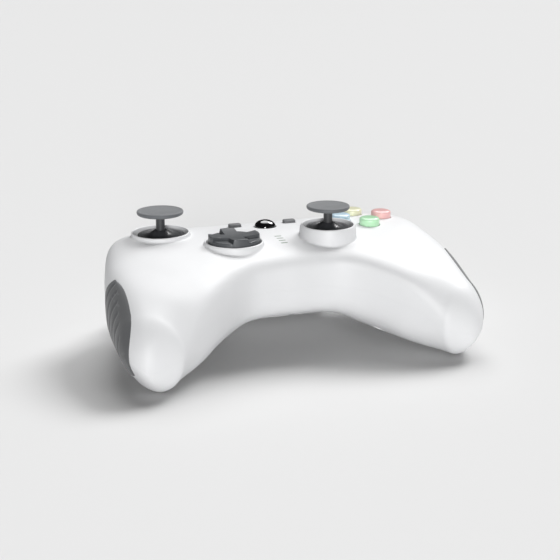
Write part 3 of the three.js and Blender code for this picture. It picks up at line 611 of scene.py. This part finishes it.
def rear_openings():
    """Tools for the bumpers, the bridge and the triggers."""
    bumper_low, bumper_high = node_box("right_bumper")
    trigger_low, trigger_high = node_box("right_trigger")
    x0, x1 = bumper_low[0] - 0.25, 57.75
    z0, z1 = bumper_low[2] - 0.25, bumper_high[2] + 0.25
    bumper = box_solid(x0, x1, bumper_low[1] - 0.9, 60, z0, z1)
    trigger = box_solid(trigger_low[0] - 0.4, trigger_high[0] + 0.4, 28.4, 60, 4, 32.6)
    low, high = node_box("rear_bridge")
    bridge = box_solid(low[0] - 0.2, high[0] + 0.2, 30, 60, low[2] - 0.2, high[2] + 0.9)
    return bumper, trigger, bridge


class CONTROLLER_OT_shells(bpy.types.Operator):
    """Upper and lower shell, moulded to the body's sections"""

    bl_idname = "controller.shells"
    bl_label = "Shells"

    def execute(self, context):
        seam = context.scene.controller_shape.seam / MM
        bumper, trigger, bridge = rear_openings()
        top = make_piece("top_shell_fine", *half_shell(True, 0, WALL, seam), FINISHES["shell"],
                         nodes=("top_shell",), slot="shell_white")
        boolean(top, face_holes())
        boolean(top, [bumper, mirror_x(bumper), bridge])
        boolean(top, [trigger, mirror_x(trigger)])
        bottom = make_piece("bottom_shell_fine", *half_shell(False, 0, WALL, seam), FINISHES["shell"],
                            nodes=("bottom_shell",), slot="shell_white")
        boolean(bottom, [trigger, mirror_x(trigger)])
        low, high = node_box("battery_pack")
        bay = box_solid(low[0] - 0.3, high[0] + 0.3, low[1] - 0.3, high[1] + 0.3, -5, 23.6)
        boolean(bottom, [bay, *screw_bores()])
        return {"FINISHED"}


def screw_bores():
    tools = []
    for k in range(1, 6):
        x, y, _ = node_middle(f"case_screw_{k}")
        tools.append(lathe([(0, -4), (2.9, -4), (2.9, 17.9), (0, 17.9)], (x, y), 48))
    return tools


def collar_solid(x, y, rim, well, fillet_size, wall=0.8, draft=0.12, depth=7.0, segments=160):
    """A ring that stands on the face: round rim, drafted wall, and a small fillet at its foot."""
    vertices, faces = [], []
    outer = well + wall
    for k in range(segments):
        a = 2 * math.pi * k / segments
        c, s = math.cos(a), math.sin(a)

        def ground(r):
            return SURFACE.height(x + r * c, y + r * s)

        rise = max(rim - ground(outer + 1), 0.05)
        base = outer + draft * rise
        floor = ground(base)
        top = max(rim, floor + 0.02)
        rise = top - floor
        size = min(fillet_size, 0.5 * rise)
        shoulder = np.array([outer + draft * (rise - size), floor + size])
        foot = np.array([base + size, ground(base + size) - 0.012])
        profile = [(well, top - depth), (well, top - 0.3), (well + 0.05, top - 0.13),
                   (well + 0.17, top - 0.03),
                   (well + 0.32, top), (outer - 0.22, top - 0.02), (outer - 0.06, top - 0.1)]
        for t in np.linspace(0.06, 1, 9):
            bow = 0.03 * rise * math.sin(math.pi * t)
            profile.append((outer + (shoulder[0] - outer) * t + bow,
                            top - 0.1 + (shoulder[1] - top + 0.1) * t))
        corner = np.array([base, floor])
        for t in np.linspace(0, 1, 8)[1:]:
            profile.append(tuple((1 - t) ** 2 * shoulder + 2 * (1 - t) * t * corner + t * t * foot))
        profile += [(foot[0], foot[1] - 0.5), (outer + 0.1, min(foot[1], floor) - 1.3)]
        vertices += [(x + r * c, y + r * s, z) for r, z in profile]
    count = len(profile)
    for k in range(segments):
        n = (k + 1) % segments
        for j in range(count):
            m = (j + 1) % count
            faces.append((k * count + j, n * count + j, n * count + m, k * count + m))
    return vertices, faces


class CONTROLLER_OT_collars(bpy.types.Operator):
    """Raised collars round the sticks and the pad, and the lips round the buttons"""

    bl_idname = "controller.collars"
    bl_label = "Collars and Lips"

    def execute(self, context):
        shape = context.scene.controller_shape
        for name, (x, y, rim, well) in zip(("left_stick", "right_stick", "pad"), well_places()):
            solid = collar_solid(x, y, rim, well, shape.flare / MM)
            make_piece(f"{name}_collar", *solid, FINISHES["shell"], slot="shell_white", angle=60)
        for name, x, y, radius, _, _ in button_places():
            lip = shape.button_lip / MM
            solid = lip_solid(x, y, radius + 0.28, lip)
            make_piece(f"{name}_lip", *solid, FINISHES["shell"], slot="shell_white", angle=60)
        x, y, _ = node_middle("guide_button")
        make_piece("guide_lip", *lip_solid(x, y, 4.98, 0.7, 0.06), FINISHES["shell"], slot="shell_white",
                   angle=60)
        return {"FINISHED"}


def lip_solid(x, y, inner, width, rise=0.16, depth=2.4, segments=96):
    """A low rounded lip that follows the face round a button."""
    vertices, faces = [], []
    for k in range(segments):
        a = 2 * math.pi * k / segments
        c, s = math.cos(a), math.sin(a)

        def ground(r):
            return SURFACE.height(x + r * c, y + r * s)

        profile = [(inner, ground(inner) - depth)]
        for t in np.linspace(0, 1, 11):
            r = inner + width * t
            profile.append((r, ground(r) - 0.01 + rise * (math.sin(math.pi * min(1,
                                                                                 t * 0.86 + 0.14)) ** 0.8)))
        outer = inner + width
        profile.append((outer, ground(outer) - 0.3))
        profile.append((inner + 0.3, ground(outer) - depth))
        vertices += [(x + r * c, y + r * s, z) for r, z in profile]
    count = len(profile)
    for k in range(segments):
        n = (k + 1) % segments
        for j in range(count):
            m = (j + 1) % count
            faces.append((k * count + j, n * count + j, n * count + m, k * count + m))
    return vertices, faces


# ------------------------------------------------------------------ grip panels

# Edges of a grip panel in the side view, from its top to its lower tip, as (y, z).
GRIP_FRONT = ((-11.9, 36.3), (-18.5, 35.4), (-25, 33.4), (-32, 30.4), (-38.8, 26.8), (-42.6, 21.6),
              (-44, 15), (-43.4, 8.4))
GRIP_REAR = ((-11.9, 36.3), (-8.6, 32.2), (-7.4, 26.6), (-8.6, 19.6), (-13.6, 12.6), (-22, 7.6), (-33, 5.4),
             (-43.4, 8.4))


def spline(points, t):
    """A point of a Catmull-Rom curve through points in the side view, t from 0 to 1."""
    points = np.array(points, dtype=float)
    last = len(points) - 1
    i = min(int(t * last), last - 1)
    u = t * last - i
    a, b, c, d = (points[min(max(i + k, 0), last)] for k in (-1, 0, 1, 2))
    return 0.5 * (2 * b + (c - a) * u + (2 * a - 5 * b + 4 * c - d) * u**2 + (3 * b - a - 3 * c + d) * u**3)


def grip_solid(side, grooves, depth, rows=150, columns=110, proud=0.46, sink=0.9):
    """A grip panel: a skin that follows the handle, with steep grooves behind a smooth front band."""
    skin, base = [], []
    for i in range(rows + 1):
        s = 0.5 - 0.5 * math.cos(math.pi * i / rows)
        front, rear = spline(GRIP_FRONT, s), spline(GRIP_REAR, s)
        for j in range(columns + 1):
            t = 0.5 - 0.5 * math.cos(math.pi * j / columns)
            y, z = front + (rear - front) * t
            point, normal = SURFACE.flank(side, y, z)
            rim = min(1.0, 9 * t * (1 - t)) ** 0.5 * min(1.0, 60 * s * (1 - s)) ** 0.5
            height = proud * rim
            if grooves:
                lane = (y - 0.22 * (30 - z) + 38.4) / 5.1
                valley = max(0.0, math.cos(2 * math.pi * lane)) ** 3
                inside = min(1.0, max(0.0, (t - 0.17) / 0.05)) * min(1.0, max(0.0, (0.9 - t) / 0.08))
                ends = min(1.0, max(0.0, (s - 0.06) / 0.06)) * min(1.0, max(0.0, (0.94 - s) / 0.06))
                count = -0.6 < lane < grooves - 0.5
                height -= depth * valley * inside * ends * count
            skin.append(point + normal * height)
            base.append(point - normal * sink)
    count = columns + 1
    start = len(skin)
    faces = grid_faces(rows + 1, count, 0, side < 0) + grid_faces(rows + 1, count, start, side > 0)
    for c in range(rows):
        for edge in (0, columns):
            a, b = c * count + edge, (c + 1) * count + edge
            faces.append((a, b, start + b, start + a))
    for r in range(columns):
        for row in (0, rows):
            a = row * count + r
            faces.append((a, a + 1, start + a + 1, start + a))
    return [tuple(p) for p in skin + base], faces


class CONTROLLER_OT_grips(bpy.types.Operator):
    """Grooved rubber panel on the outer side of each handle"""

    bl_idname = "controller.grips"
    bl_label = "Grip Panels"

    def execute(self, context):
        shape = context.scene.controller_shape
        for name, side in (("left", -1), ("right", 1)):
            solid = grip_solid(side, shape.grooves, shape.groove_depth / MM)
            make_piece(f"{name}_grip_fine", *solid, FINISHES["grip"], nodes=(f"{name}_grip_panel",),
                       slot="grip_rubber", angle=50)
        return {"FINISHED"}


# ------------------------------------------------------------------ sticks


class CONTROLLER_OT_sticks(bpy.types.Operator):
    """Thumb cap, lever and skirt of each stick"""

    bl_idname = "controller.sticks"
    bl_label = "Thumb Sticks"

    def execute(self, context):
        for side in ("left", "right"):
            body = f"{side}_stick"
            low, high = node_box(f"{side}_thumb_cap")
            x, y = (low[0] + high[0]) / 2, (low[1] + high[1]) / 2
            r, z0, z1 = (high[0] - low[0]) / 2, low[2], high[2]
            cap = fillet([(0, z0 - 0.05), (2.6, z0 - 0.05), (3.2, z0 - 0.2, 0.3), (r - 0.9, z0 - 0.15, 0.6),
                          (r, z0 + 0.35, 0.6), (r, z1 - 0.05, 0.75), (r - 0.95, z1, 0.35),
                          (r - 1.35, z1 - 0.14, 0.3),
                          (r * 0.6, z1 - 0.28, 1.5), (0, z1 - 0.4)])
            make_piece(f"{side}_cap_fine", *lathe(cap, (x, y), 128), FINISHES["stick"], body,
                       (f"{side}_thumb_cap",), "stick_grey", 60)
            low, high = node_box(f"{side}_stick_lever")
            pivot = low[2] + 2.6
            lever = fillet([(0, low[2]), (1.6, low[2] + 0.3, 0.4), (2.6, pivot - 0.6, 0.8),
                            (2.6, pivot + 0.7, 0.8),
                            (1.85, pivot + 2, 0.5), (1.85, high[2] - 0.9, 0.5), (2.5, high[2], 0.05),
                            (0, high[2])])
            make_piece(f"{side}_lever_fine", *lathe(lever, (x, y), 64), FINISHES["lever"], body,
                       (f"{side}_stick_lever",), "charcoal", 50)
            low, high = node_box(f"{side}_stick_skirt")
            edge, radius = low[2] + 1.0, (high[0] - low[0]) / 2
            skirt = fillet([(2.1, edge - 0.6), (radius - 1, edge - 1, 0.3), (radius, edge - 0.7, 0.3),
                            (radius, edge, 0.25), (radius - 1.5, edge + 0.12, 0.3),
                            (radius - 2.2, edge - 0.1, 0.4),
                            (5.2, edge + 0.2, 0.8), (3.2, edge + 1.5, 1.0), (2.4, edge + 1.9, 0.3),
                            (2.1, edge + 1.9)])
            make_piece(f"{side}_skirt_fine", *lathe(skirt, (x, y), 96, closed=True), FINISHES["skirt"], body,
                       (f"{side}_stick_skirt",), "charcoal", 60)
        return {"FINISHED"}


# ------------------------------------------------------------------ directional pad


def pad_top(x, y, radius, plate, crest):
    """Height of the pad's upper side: a dished plate with a cross whose arms rise towards the rim."""

    def step(distance, soft=0.3):
        u = min(1.0, max(0.0, 0.5 - distance / soft))
        return u * u * (3 - 2 * u)

    half_arm = 3.1
    rim = math.hypot(x, y) / radius
    arm = max(step(abs(x) - half_arm), step(abs(y) - half_arm))
    beside = min(abs(x), abs(y)) - half_arm
    groove = math.exp(-(((beside - 0.35) / 0.22) ** 2))
    dish = plate - 0.5 * (1 - rim**2) - 0.28 * groove
    raised = crest - 0.95 * (1 - min(1.0, rim * 1.05) ** 2)
    return dish + (raised - dish) * arm


class CONTROLLER_OT_direction_pad(bpy.types.Operator):
    """Round pad with a raised cross"""

    bl_idname = "controller.direction_pad"
    bl_label = "Directional Pad"

    def execute(self, context):
        low, high = node_box("direction_pad")
        x, y = (low[0] + high[0]) / 2, (low[1] + high[1]) / 2
        radius, crest = (high[0] - low[0]) / 2, high[2]
        plate = crest - 1.5
        segments, rings = 240, 46
        vertices, faces = [(x, y, pad_top(0, 0, radius, plate, crest))], []
        rows = []
        for k in range(1, rings + 1):
            r = (radius - 0.4) * k / rings
            rows.append([(r, a, pad_top(r * math.cos(a), r * math.sin(a), radius, plate, crest))
                         for a in (2 * math.pi * j / segments for j in range(segments))])
        for sag, out in ((0.05, 0.26), (0.2, 0.36), (0.42, 0.4)):
            rows.append([(radius - 0.4 + out, a, z - sag) for _, a, z in rows[rings - 1]])
        under = crest - 5.1
        rows.append([(radius, a, under + 0.4) for _, a, _ in rows[0]])
        rows.append([(radius - 0.5, a, under) for _, a, _ in rows[0]])
        rows.append([(2.0, a, under) for _, a, _ in rows[0]])
        rows.append([(2.0, a, low[2]) for _, a, _ in rows[0]])
        for row in rows:
            vertices += [(x + r * math.cos(a), y + r * math.sin(a), z) for r, a, z in row]
        for j in range(segments):
            n = (j + 1) % segments
            faces.append((0, 1 + j, 1 + n))
            for k in range(len(rows) - 1):
                a, b = 1 + k * segments, 1 + (k + 1) * segments
                faces.append((a + j, b + j, b + n, a + n))
        last = 1 + (len(rows) - 1) * segments
        faces.append(tuple(last + j for j in range(segments)))
        make_piece("direction_pad_fine", vertices, faces, FINISHES["pad"], "pad", ("direction_pad",),
                   "charcoal", 50)
        return {"FINISHED"}


# ------------------------------------------------------------------ buttons


class CONTROLLER_OT_buttons(bpy.types.Operator):
    """Four face buttons, the domed button and the two menu buttons"""

    bl_idname = "controller.buttons"
    bl_label = "Buttons"

    def execute(self, context):
        for name, x, y, radius, top, key in button_places():
            low, _ = node_box(name)
            foot = low[2]
            profile = fillet([(0, foot), (radius + 0.8, foot, 0.15), (radius + 0.8, foot + 1.2, 0.15),
                              (radius, foot + 1.2),
                              (radius, top - 0.55, 0.9), (radius * 0.72, top - 0.08, 1.4), (0, top)], 8)
            make_piece(f"{name}_fine", *lathe(profile, (x, y), 96), FINISHES[key], name, (name,),
                       f"{key}_button", 60)
        low, high = node_box("guide_button")
        x, y = (low[0] + high[0]) / 2, (low[1] + high[1]) / 2
        radius = (high[0] - low[0]) / 2 - 0.8
        base = high[2] - 2.9
        dome = [(radius * math.cos(a), base + 2.9 * math.sin(a)) for a in np.linspace(0, math.pi / 2, 25)]
        dome[-1] = (0, dome[-1][1])
        foot = low[2]
        profile = [(0, foot), (radius + 0.8, foot), (radius + 0.8, foot + 1.2), (radius, foot + 1.2), *dome]
        make_piece("guide_button_fine", *lathe(profile, (x, y), 128), FINISHES["dome"], "guide_button",
                   ("guide_button",), "dome_black", 60)
        for name in ("back_button", "start_button"):
            low, high = node_box(name)
            x, y = (low[0] + high[0]) / 2, (low[1] + high[1]) / 2
            width, depth = high[0] - low[0] - 1.6, high[1] - low[1] - 1.6
            cap = prism(rounded_rectangle(x, y, width, depth, 1.0), low[2] + 0.7, high[2])
            piece = make_piece(f"{name}_fine", *cap, FINISHES["menu"], name, (name,), "button_grey")
            soften(piece, 0.35, 4)
            boolean(piece, [prism(rounded_rectangle(x, y, width + 1.6, depth + 1.6, 1.2), low[2],
                                  low[2] + 1.2)],
                    "UNION", 40)
        finish_node("light_guide", "window")
        return {"FINISHED"}


# ------------------------------------------------------------------ rear controls


class CONTROLLER_OT_bumpers(bpy.types.Operator):
    """Bumpers, which continue the shell's rear edge"""

    bl_idname = "controller.bumpers"
    bl_label = "Bumpers"

    def execute(self, context):
        low, high = node_box("right_bumper")
        for name, sign in (("left", -1), ("right", 1)):
            piece = make_piece(f"{name}_bumper_fine", *half_shell(True, 0.5, 2.5, 0.0), FINISHES["shell"],
                               f"{name}_bumper", (f"{name}_bumper",), "shell_white")
            span = box_solid(low[0], 57.3, low[1], 60, low[2], high[2])
            boolean(piece, [mirror_x(span) if sign < 0 else span], "INTERSECT", 40)
            x, y, _ = node_middle("face_button_far")
            room = lathe([(0, 28), (6.5, 28), (6.5, 60), (0, 60)], (x, y), 96)
            boolean(piece, [mirror_x(room) if sign < 0 else room], "DIFFERENCE", 40)
            soften(piece, 0.45, 3, 50)
        return {"FINISHED"}


def bezier_outline(start, curves, steps=10):
    """An outline from quadratic curves, each given by its control point and its end."""
    points, here = [start], np.array(start, dtype=float)
    for control, end in curves:
        control, end = np.array(control, dtype=float), np.array(end, dtype=float)
        for t in np.linspace(0, 1, steps + 1)[1:]:
            points.append(tuple((1 - t) ** 2 * here + 2 * t * (1 - t) * control + t * t * end))
        here = end
    return points


def trigger_outline(y, z, hub=3.0):
    """Side view of a trigger about its pivot."""
    outline = bezier_outline(
        (y, z - hub),
        [
            ((y + 2.6, z - 3.2), (y + 3.6, z - 6)),
            ((y + 6.4, z - 13.6), (y + 13.4, z - 18.4)),
            ((y + 16.2, z - 20), (y + 17.6, z - 18.6)),
            ((y + 18.3, z - 17), (y + 16.2, z - 14.8)),
            ((y + 10.2, z - 8.4), (y + 9.2, z - 1.4)),
            ((y + 8.6, z + 2.6), (y + 5, z + 3.2)),
        ],
    )
    outline.append((y + 1, z + hub))
    for k in range(1, 13):
        a = 1.25 + (1.5 * math.pi - 1.25) * k / 13
        outline.append((y + hub * math.cos(a), z + hub * math.sin(a)))
    return outline


class CONTROLLER_OT_triggers(bpy.types.Operator):
    """Hooked triggers on their pins"""

    bl_idname = "controller.triggers"
    bl_label = "Triggers"

    def execute(self, context):
        low, high = node_box("right_trigger")
        _, py, pz = node_middle("right_trigger_pin")
        outline = trigger_outline(py, pz)
        hollow = [(py + a, pz + b) for a, b in ((-2, -9), (3.4, -5), (6.8, -11.6), (13, -17), (6, -20),
                                                (-2, -16))]
        for name, sign in (("left", -1), ("right", 1)):
            solid = prism(outline, low[0], high[0], "x")
            back = prism(hollow, low[0] + 1.6, high[0] - 1.6, "x")
            bore = rod_along_x(py, pz, 1.5, low[0] - 2, high[0] + 2)
            if sign < 0:
                solid, back, bore = mirror_x(solid), mirror_x(back), mirror_x(bore)
            piece = make_piece(f"{name}_trigger_fine", *solid, FINISHES["shell"], f"{name}_trigger",
                               (f"{name}_trigger",), "shell_white")
            soften(piece, 0.9, 5, 50)
            boolean(piece, [back], angle=40)
            boolean(piece, [bore], angle=40)
            finish_node(f"{name}_trigger_pin", "steel")
        return {"FINISHED"}


def rod_along_x(y, z, radius, x0, x1, segments=40):
    ring = [(y + radius * math.cos(a), z + radius * math.sin(a))
            for a in (2 * math.pi * k / segments for k in range(segments))]
    return prism(ring, x0, x1, "x")


class CONTROLLER_OT_bridge(bpy.types.Operator):
    """Trim between the bumpers, with the sync button and the charge socket"""

    bl_idname = "controller.bridge"
    bl_label = "Rear Bridge"

    def execute(self, context):
        low, high = node_box("rear_bridge")
        piece = make_piece("rear_bridge_fine", *half_shell(True, 0.25, 2.6, 0.0), FINISHES["trim"],
                           nodes=("rear_bridge",), slot="button_grey")
        boolean(piece, [box_solid(low[0], high[0], 33, 60, low[2], high[2] + 0.6)], "INTERSECT", 40)
        soften(piece, 0.35, 3, 50)
        low, high = node_box("charge_socket")
        x, z = (low[0] + high[0]) / 2, (low[2] + high[2]) / 2
        width, height = high[0] - low[0] + 0.5, high[2] - low[2] + 0.5
        mouth = [(a, b) for a, b in rounded_rectangle(x, z, width, height, 1.2)]
        tool = [(a, 20, b) for a, b in mouth] + [(a, 60, b) for a, b in mouth]
        count = len(mouth)
        faces = [tuple(range(count)), tuple(range(count, 2 * count))[::-1]]
        faces += [(k, count + k, count + (k + 1) % count, (k + 1) % count) for k in range(count)]
        sx, _, sz = node_middle("sync_button")
        boolean(piece, [(tool, faces), rod_along_y(sx, sz, 2.2, 20, 60)], angle=40)
        finish_node("charge_socket", "steel")
        low, high = node_box("sync_button")
        button = make_piece("sync_button_fine", *rod_along_y(sx, sz, 1.9, low[1], high[1]), FINISHES["shell"],
                            "sync_button", ("sync_button",), "shell_white")
        soften(button, 0.3, 4, 50)
        return {"FINISHED"}


# ------------------------------------------------------------------ battery pack and screws


class CONTROLLER_OT_battery_pack(bpy.types.Operator):
    """Battery pack with its latch, cells and contacts"""

    bl_idname = "controller.battery_pack"
    bl_label = "Battery Pack"

    def execute(self, context):
        low, high = node_box("battery_pack")
        wall = 1.5
        front, rear, roof = low[1], high[1], high[2]

        def side_view(inset, top):
            return [(front + inset, 8.6 + inset * 0.9), (27 + inset * 0.3, low[2] + inset),
                    (rear - inset, low[2] + inset),
                    (rear - inset, top), (front + inset, top)]

        piece = make_piece("battery_pack_fine", *prism(side_view(0, roof), low[0], high[0], "x"),
                           FINISHES["shell"],
                           "battery_pack", ("battery_pack",), "shell_white")
        soften(piece, 0.9, 5, 30)
        boolean(piece, [prism(side_view(wall, 40), low[0] + wall, high[0] - wall, "x")], angle=40)
        l_low, l_high = node_box("battery_latch")
        notch = box_solid(l_low[0] - 0.5, l_high[0] + 0.5, rear - 3, rear + 2, 11, 30)
        boolean(piece, [notch], angle=40)
        latch = make_piece("battery_latch_fine", *box_solid(l_low[0], l_high[0], l_low[1], l_high[1],
                                                            l_low[2], l_high[2]),
                           FINISHES["trim"], "battery_latch", ("battery_latch",), "button_grey")
        ribs = [box_solid(l_low[0] - 1, l_high[0] + 1, rear - 0.35, rear + 1, z, z + 0.45)
                for z in (l_low[2] + 1.6, l_low[2] + 2.8, l_low[2] + 4.0)]
        soften(latch, 0.3, 3)
        boolean(latch, ribs, angle=40)
        for node in ("battery_cell_front", "battery_cell_rear"):
            finish_node(node, "cell")
        for node in ("battery_contact_left", "battery_contact_right"):
            finish_node(node, "steel")
        return {"FINISHED"}


class CONTROLLER_OT_screws(bpy.types.Operator):
    """Case screws with a cross recess"""

    bl_idname = "controller.screws"
    bl_label = "Case Screws"

    def execute(self, context):
        for k in range(1, 6):
            name = f"case_screw_{k}"
            low, high = node_box(name)
            x, y = (low[0] + high[0]) / 2, (low[1] + high[1]) / 2
            head = low[2]
            profile = fillet([(0, head), (2.4, head + 0.25, 0.5), (2.4, head + 2.2, 0.15),
                              (1.2, head + 2.3)], 5)
            pitch = 0.9
            turns = int((high[2] - head - 3.6) / pitch)
            for n in range(turns):
                z = head + 2.6 + n * pitch
                profile += [(0.95, z), (1.2, z + 0.45)]
            profile += [(0.9, high[2] - 0.8), (0, high[2])]
            piece = make_piece(f"{name}_fine", *lathe(profile, (x, y), 40), FINISHES["steel"],
                               nodes=(name,), slot="steel")
            cross = [(a * 0.35, b * 1.4) for a, b in ((-1, -1), (1, -1), (1, 1), (-1, 1))]
            turned = [(b, -a) for a, b in cross]
            for outline in (cross, turned):
                tool = prism([(x + a, y + b) for a, b in outline], head - 1, head + 1.1)
                boolean(piece, [tool], angle=40)
        return {"FINISHED"}


class CONTROLLER_OT_inner_parts(bpy.types.Operator):
    """Finishes of the parts inside the case"""

    bl_idname = "controller.inner_parts"
    bl_label = "Inner Parts"

    def execute(self, context):
        for name in ("pad_membrane", "face_button_membrane", "menu_button_membrane"):
            finish_node(name, "silicone")
        finish_node("pad_rocker_ring", "inner")
        finish_node("main_board", "circuit")
        finish_node("radio_module", "steel")
        for side in ("left", "right"):
            finish_node(f"{side}_stick_rocker", "silicone")
            finish_node(f"{side}_stick_seat", "steel")
            finish_node(f"{side}_stick_module", "inner")
            finish_node(f"{side}_rumble_motor", "steel")
            finish_node(f"{side}_rumble_weight", "steel")
        return {"FINISHED"}


# ------------------------------------------------------------------ stage


class CONTROLLER_OT_stage(bpy.types.Operator):
    """Pale floor, soft light and camera"""

    bl_idname = "controller.stage"
    bl_label = "Stage"

    def execute(self, context):
        stage = context.scene.controller_stage
        build_floor(stage)
        build_lights(stage)
        build_camera()
        return {"FINISHED"}


def build_floor(stage):
    half = 6.0
    mesh = bpy.data.meshes.new("floor")
    mesh.from_pydata([(-half, -half, 0), (half, -half, 0), (half, half, 0), (-half, half, 0)], [],
                     [(0, 1, 2, 3)])
    floor = bpy.data.objects.new("floor", mesh)
    bpy.context.scene.collection.objects.link(floor)
    material = bpy.data.materials.new("floor")
    material.use_nodes = True
    shader = material.node_tree.nodes["Principled BSDF"]
    shader.inputs["Base Color"].default_value = (*stage.floor, 1)
    shader.inputs["Roughness"].default_value = 0.9
    shader.inputs["Specular IOR Level"].default_value = 0.1
    mesh.materials.append(material)


def build_lights(stage):
    world = bpy.data.worlds.new("room")
    bpy.context.scene.world = world
    world.use_nodes = True
    background = world.node_tree.nodes["Background"]
    background.inputs["Color"].default_value = (1, 1, 1, 1)
    background.inputs["Strength"].default_value = stage.ambient
    lights = (
        ("key", stage.key, stage.key_spread, (0.85, 0.5, 1.0)),
        ("soft", stage.soft, stage.soft_spread, (0.2, 0.6, 1.0)),
        ("front", stage.front, stage.front_spread, (-0.3, -1.0, 0.18)),
    )
    for name, energy, spread, towards in lights:
        sun = bpy.data.lights.new(name, "SUN")
        sun.energy = energy
        sun.angle = spread
        lamp = bpy.data.objects.new(name, sun)
        bpy.context.scene.collection.objects.link(lamp)
        lamp.rotation_euler = Vector(towards).to_track_quat("Z", "Y").to_euler()


def build_camera():
    yaw, pitch = math.radians(19.12), math.radians(16.87)
    forward = Vector((math.sin(yaw) * math.cos(pitch), math.cos(yaw) * math.cos(pitch), -math.sin(pitch)))
    data = bpy.data.cameras.new("camera")
    data.sensor_width = 36
    data.lens = 70.71
    data.clip_start = 0.01
    data.clip_end = 50
    camera = bpy.data.objects.new("camera", data)
    bpy.context.scene.collection.objects.link(camera)
    camera.location = Vector((-144.81, -419.41, 160.40)) * MM
    camera.rotation_euler = forward.to_track_quat("-Z", "Y").to_euler()
    bpy.context.scene.camera = camera
    bpy.context.scene.view_settings.view_transform = "Standard"


# ------------------------------------------------------------------ panel and registration


PIECES = (
    CONTROLLER_OT_shells,
    CONTROLLER_OT_collars,
    CONTROLLER_OT_grips,
    CONTROLLER_OT_sticks,
    CONTROLLER_OT_direction_pad,
    CONTROLLER_OT_buttons,
    CONTROLLER_OT_bumpers,
    CONTROLLER_OT_triggers,
    CONTROLLER_OT_bridge,
    CONTROLLER_OT_battery_pack,
    CONTROLLER_OT_screws,
    CONTROLLER_OT_inner_parts,
    CONTROLLER_OT_stage,
)


class CONTROLLER_PT_parts(bpy.types.Panel):
    """Sizes, colours and build steps of the controller"""

    bl_idname = "CONTROLLER_PT_parts"
    bl_label = "Controller"
    bl_space_type = "VIEW_3D"
    bl_region_type = "UI"
    bl_category = "Controller"

    def draw(self, context):
        for group in (context.scene.controller_shape, context.scene.controller_finish,
                      context.scene.controller_stage):
            box = self.layout.box()
            for name in group.__annotations__:
                box.prop(group, name)
        for piece in PIECES:
            self.layout.operator(piece.bl_idname)


GROUPS = (ControllerShape, ControllerFinish, ControllerStage)


def register():
    for cls in (*GROUPS, *PIECES, CONTROLLER_PT_parts):
        bpy.utils.register_class(cls)
    bpy.types.Scene.controller_shape = PointerProperty(type=ControllerShape)
    bpy.types.Scene.controller_finish = PointerProperty(type=ControllerFinish)
    bpy.types.Scene.controller_stage = PointerProperty(type=ControllerStage)


def unregister():
    del bpy.types.Scene.controller_stage
    del bpy.types.Scene.controller_finish
    del bpy.types.Scene.controller_shape
    for cls in (CONTROLLER_PT_parts, *PIECES[::-1], *GROUPS[::-1]):
        bpy.utils.unregister_class(cls)


def main():
    register()
    build_finishes(bpy.context.scene.controller_finish)
    for piece in PIECES:
        category, name = piece.bl_idname.split(".")
        getattr(getattr(bpy.ops, category), name)()


if __name__ == "__main__":
    main()
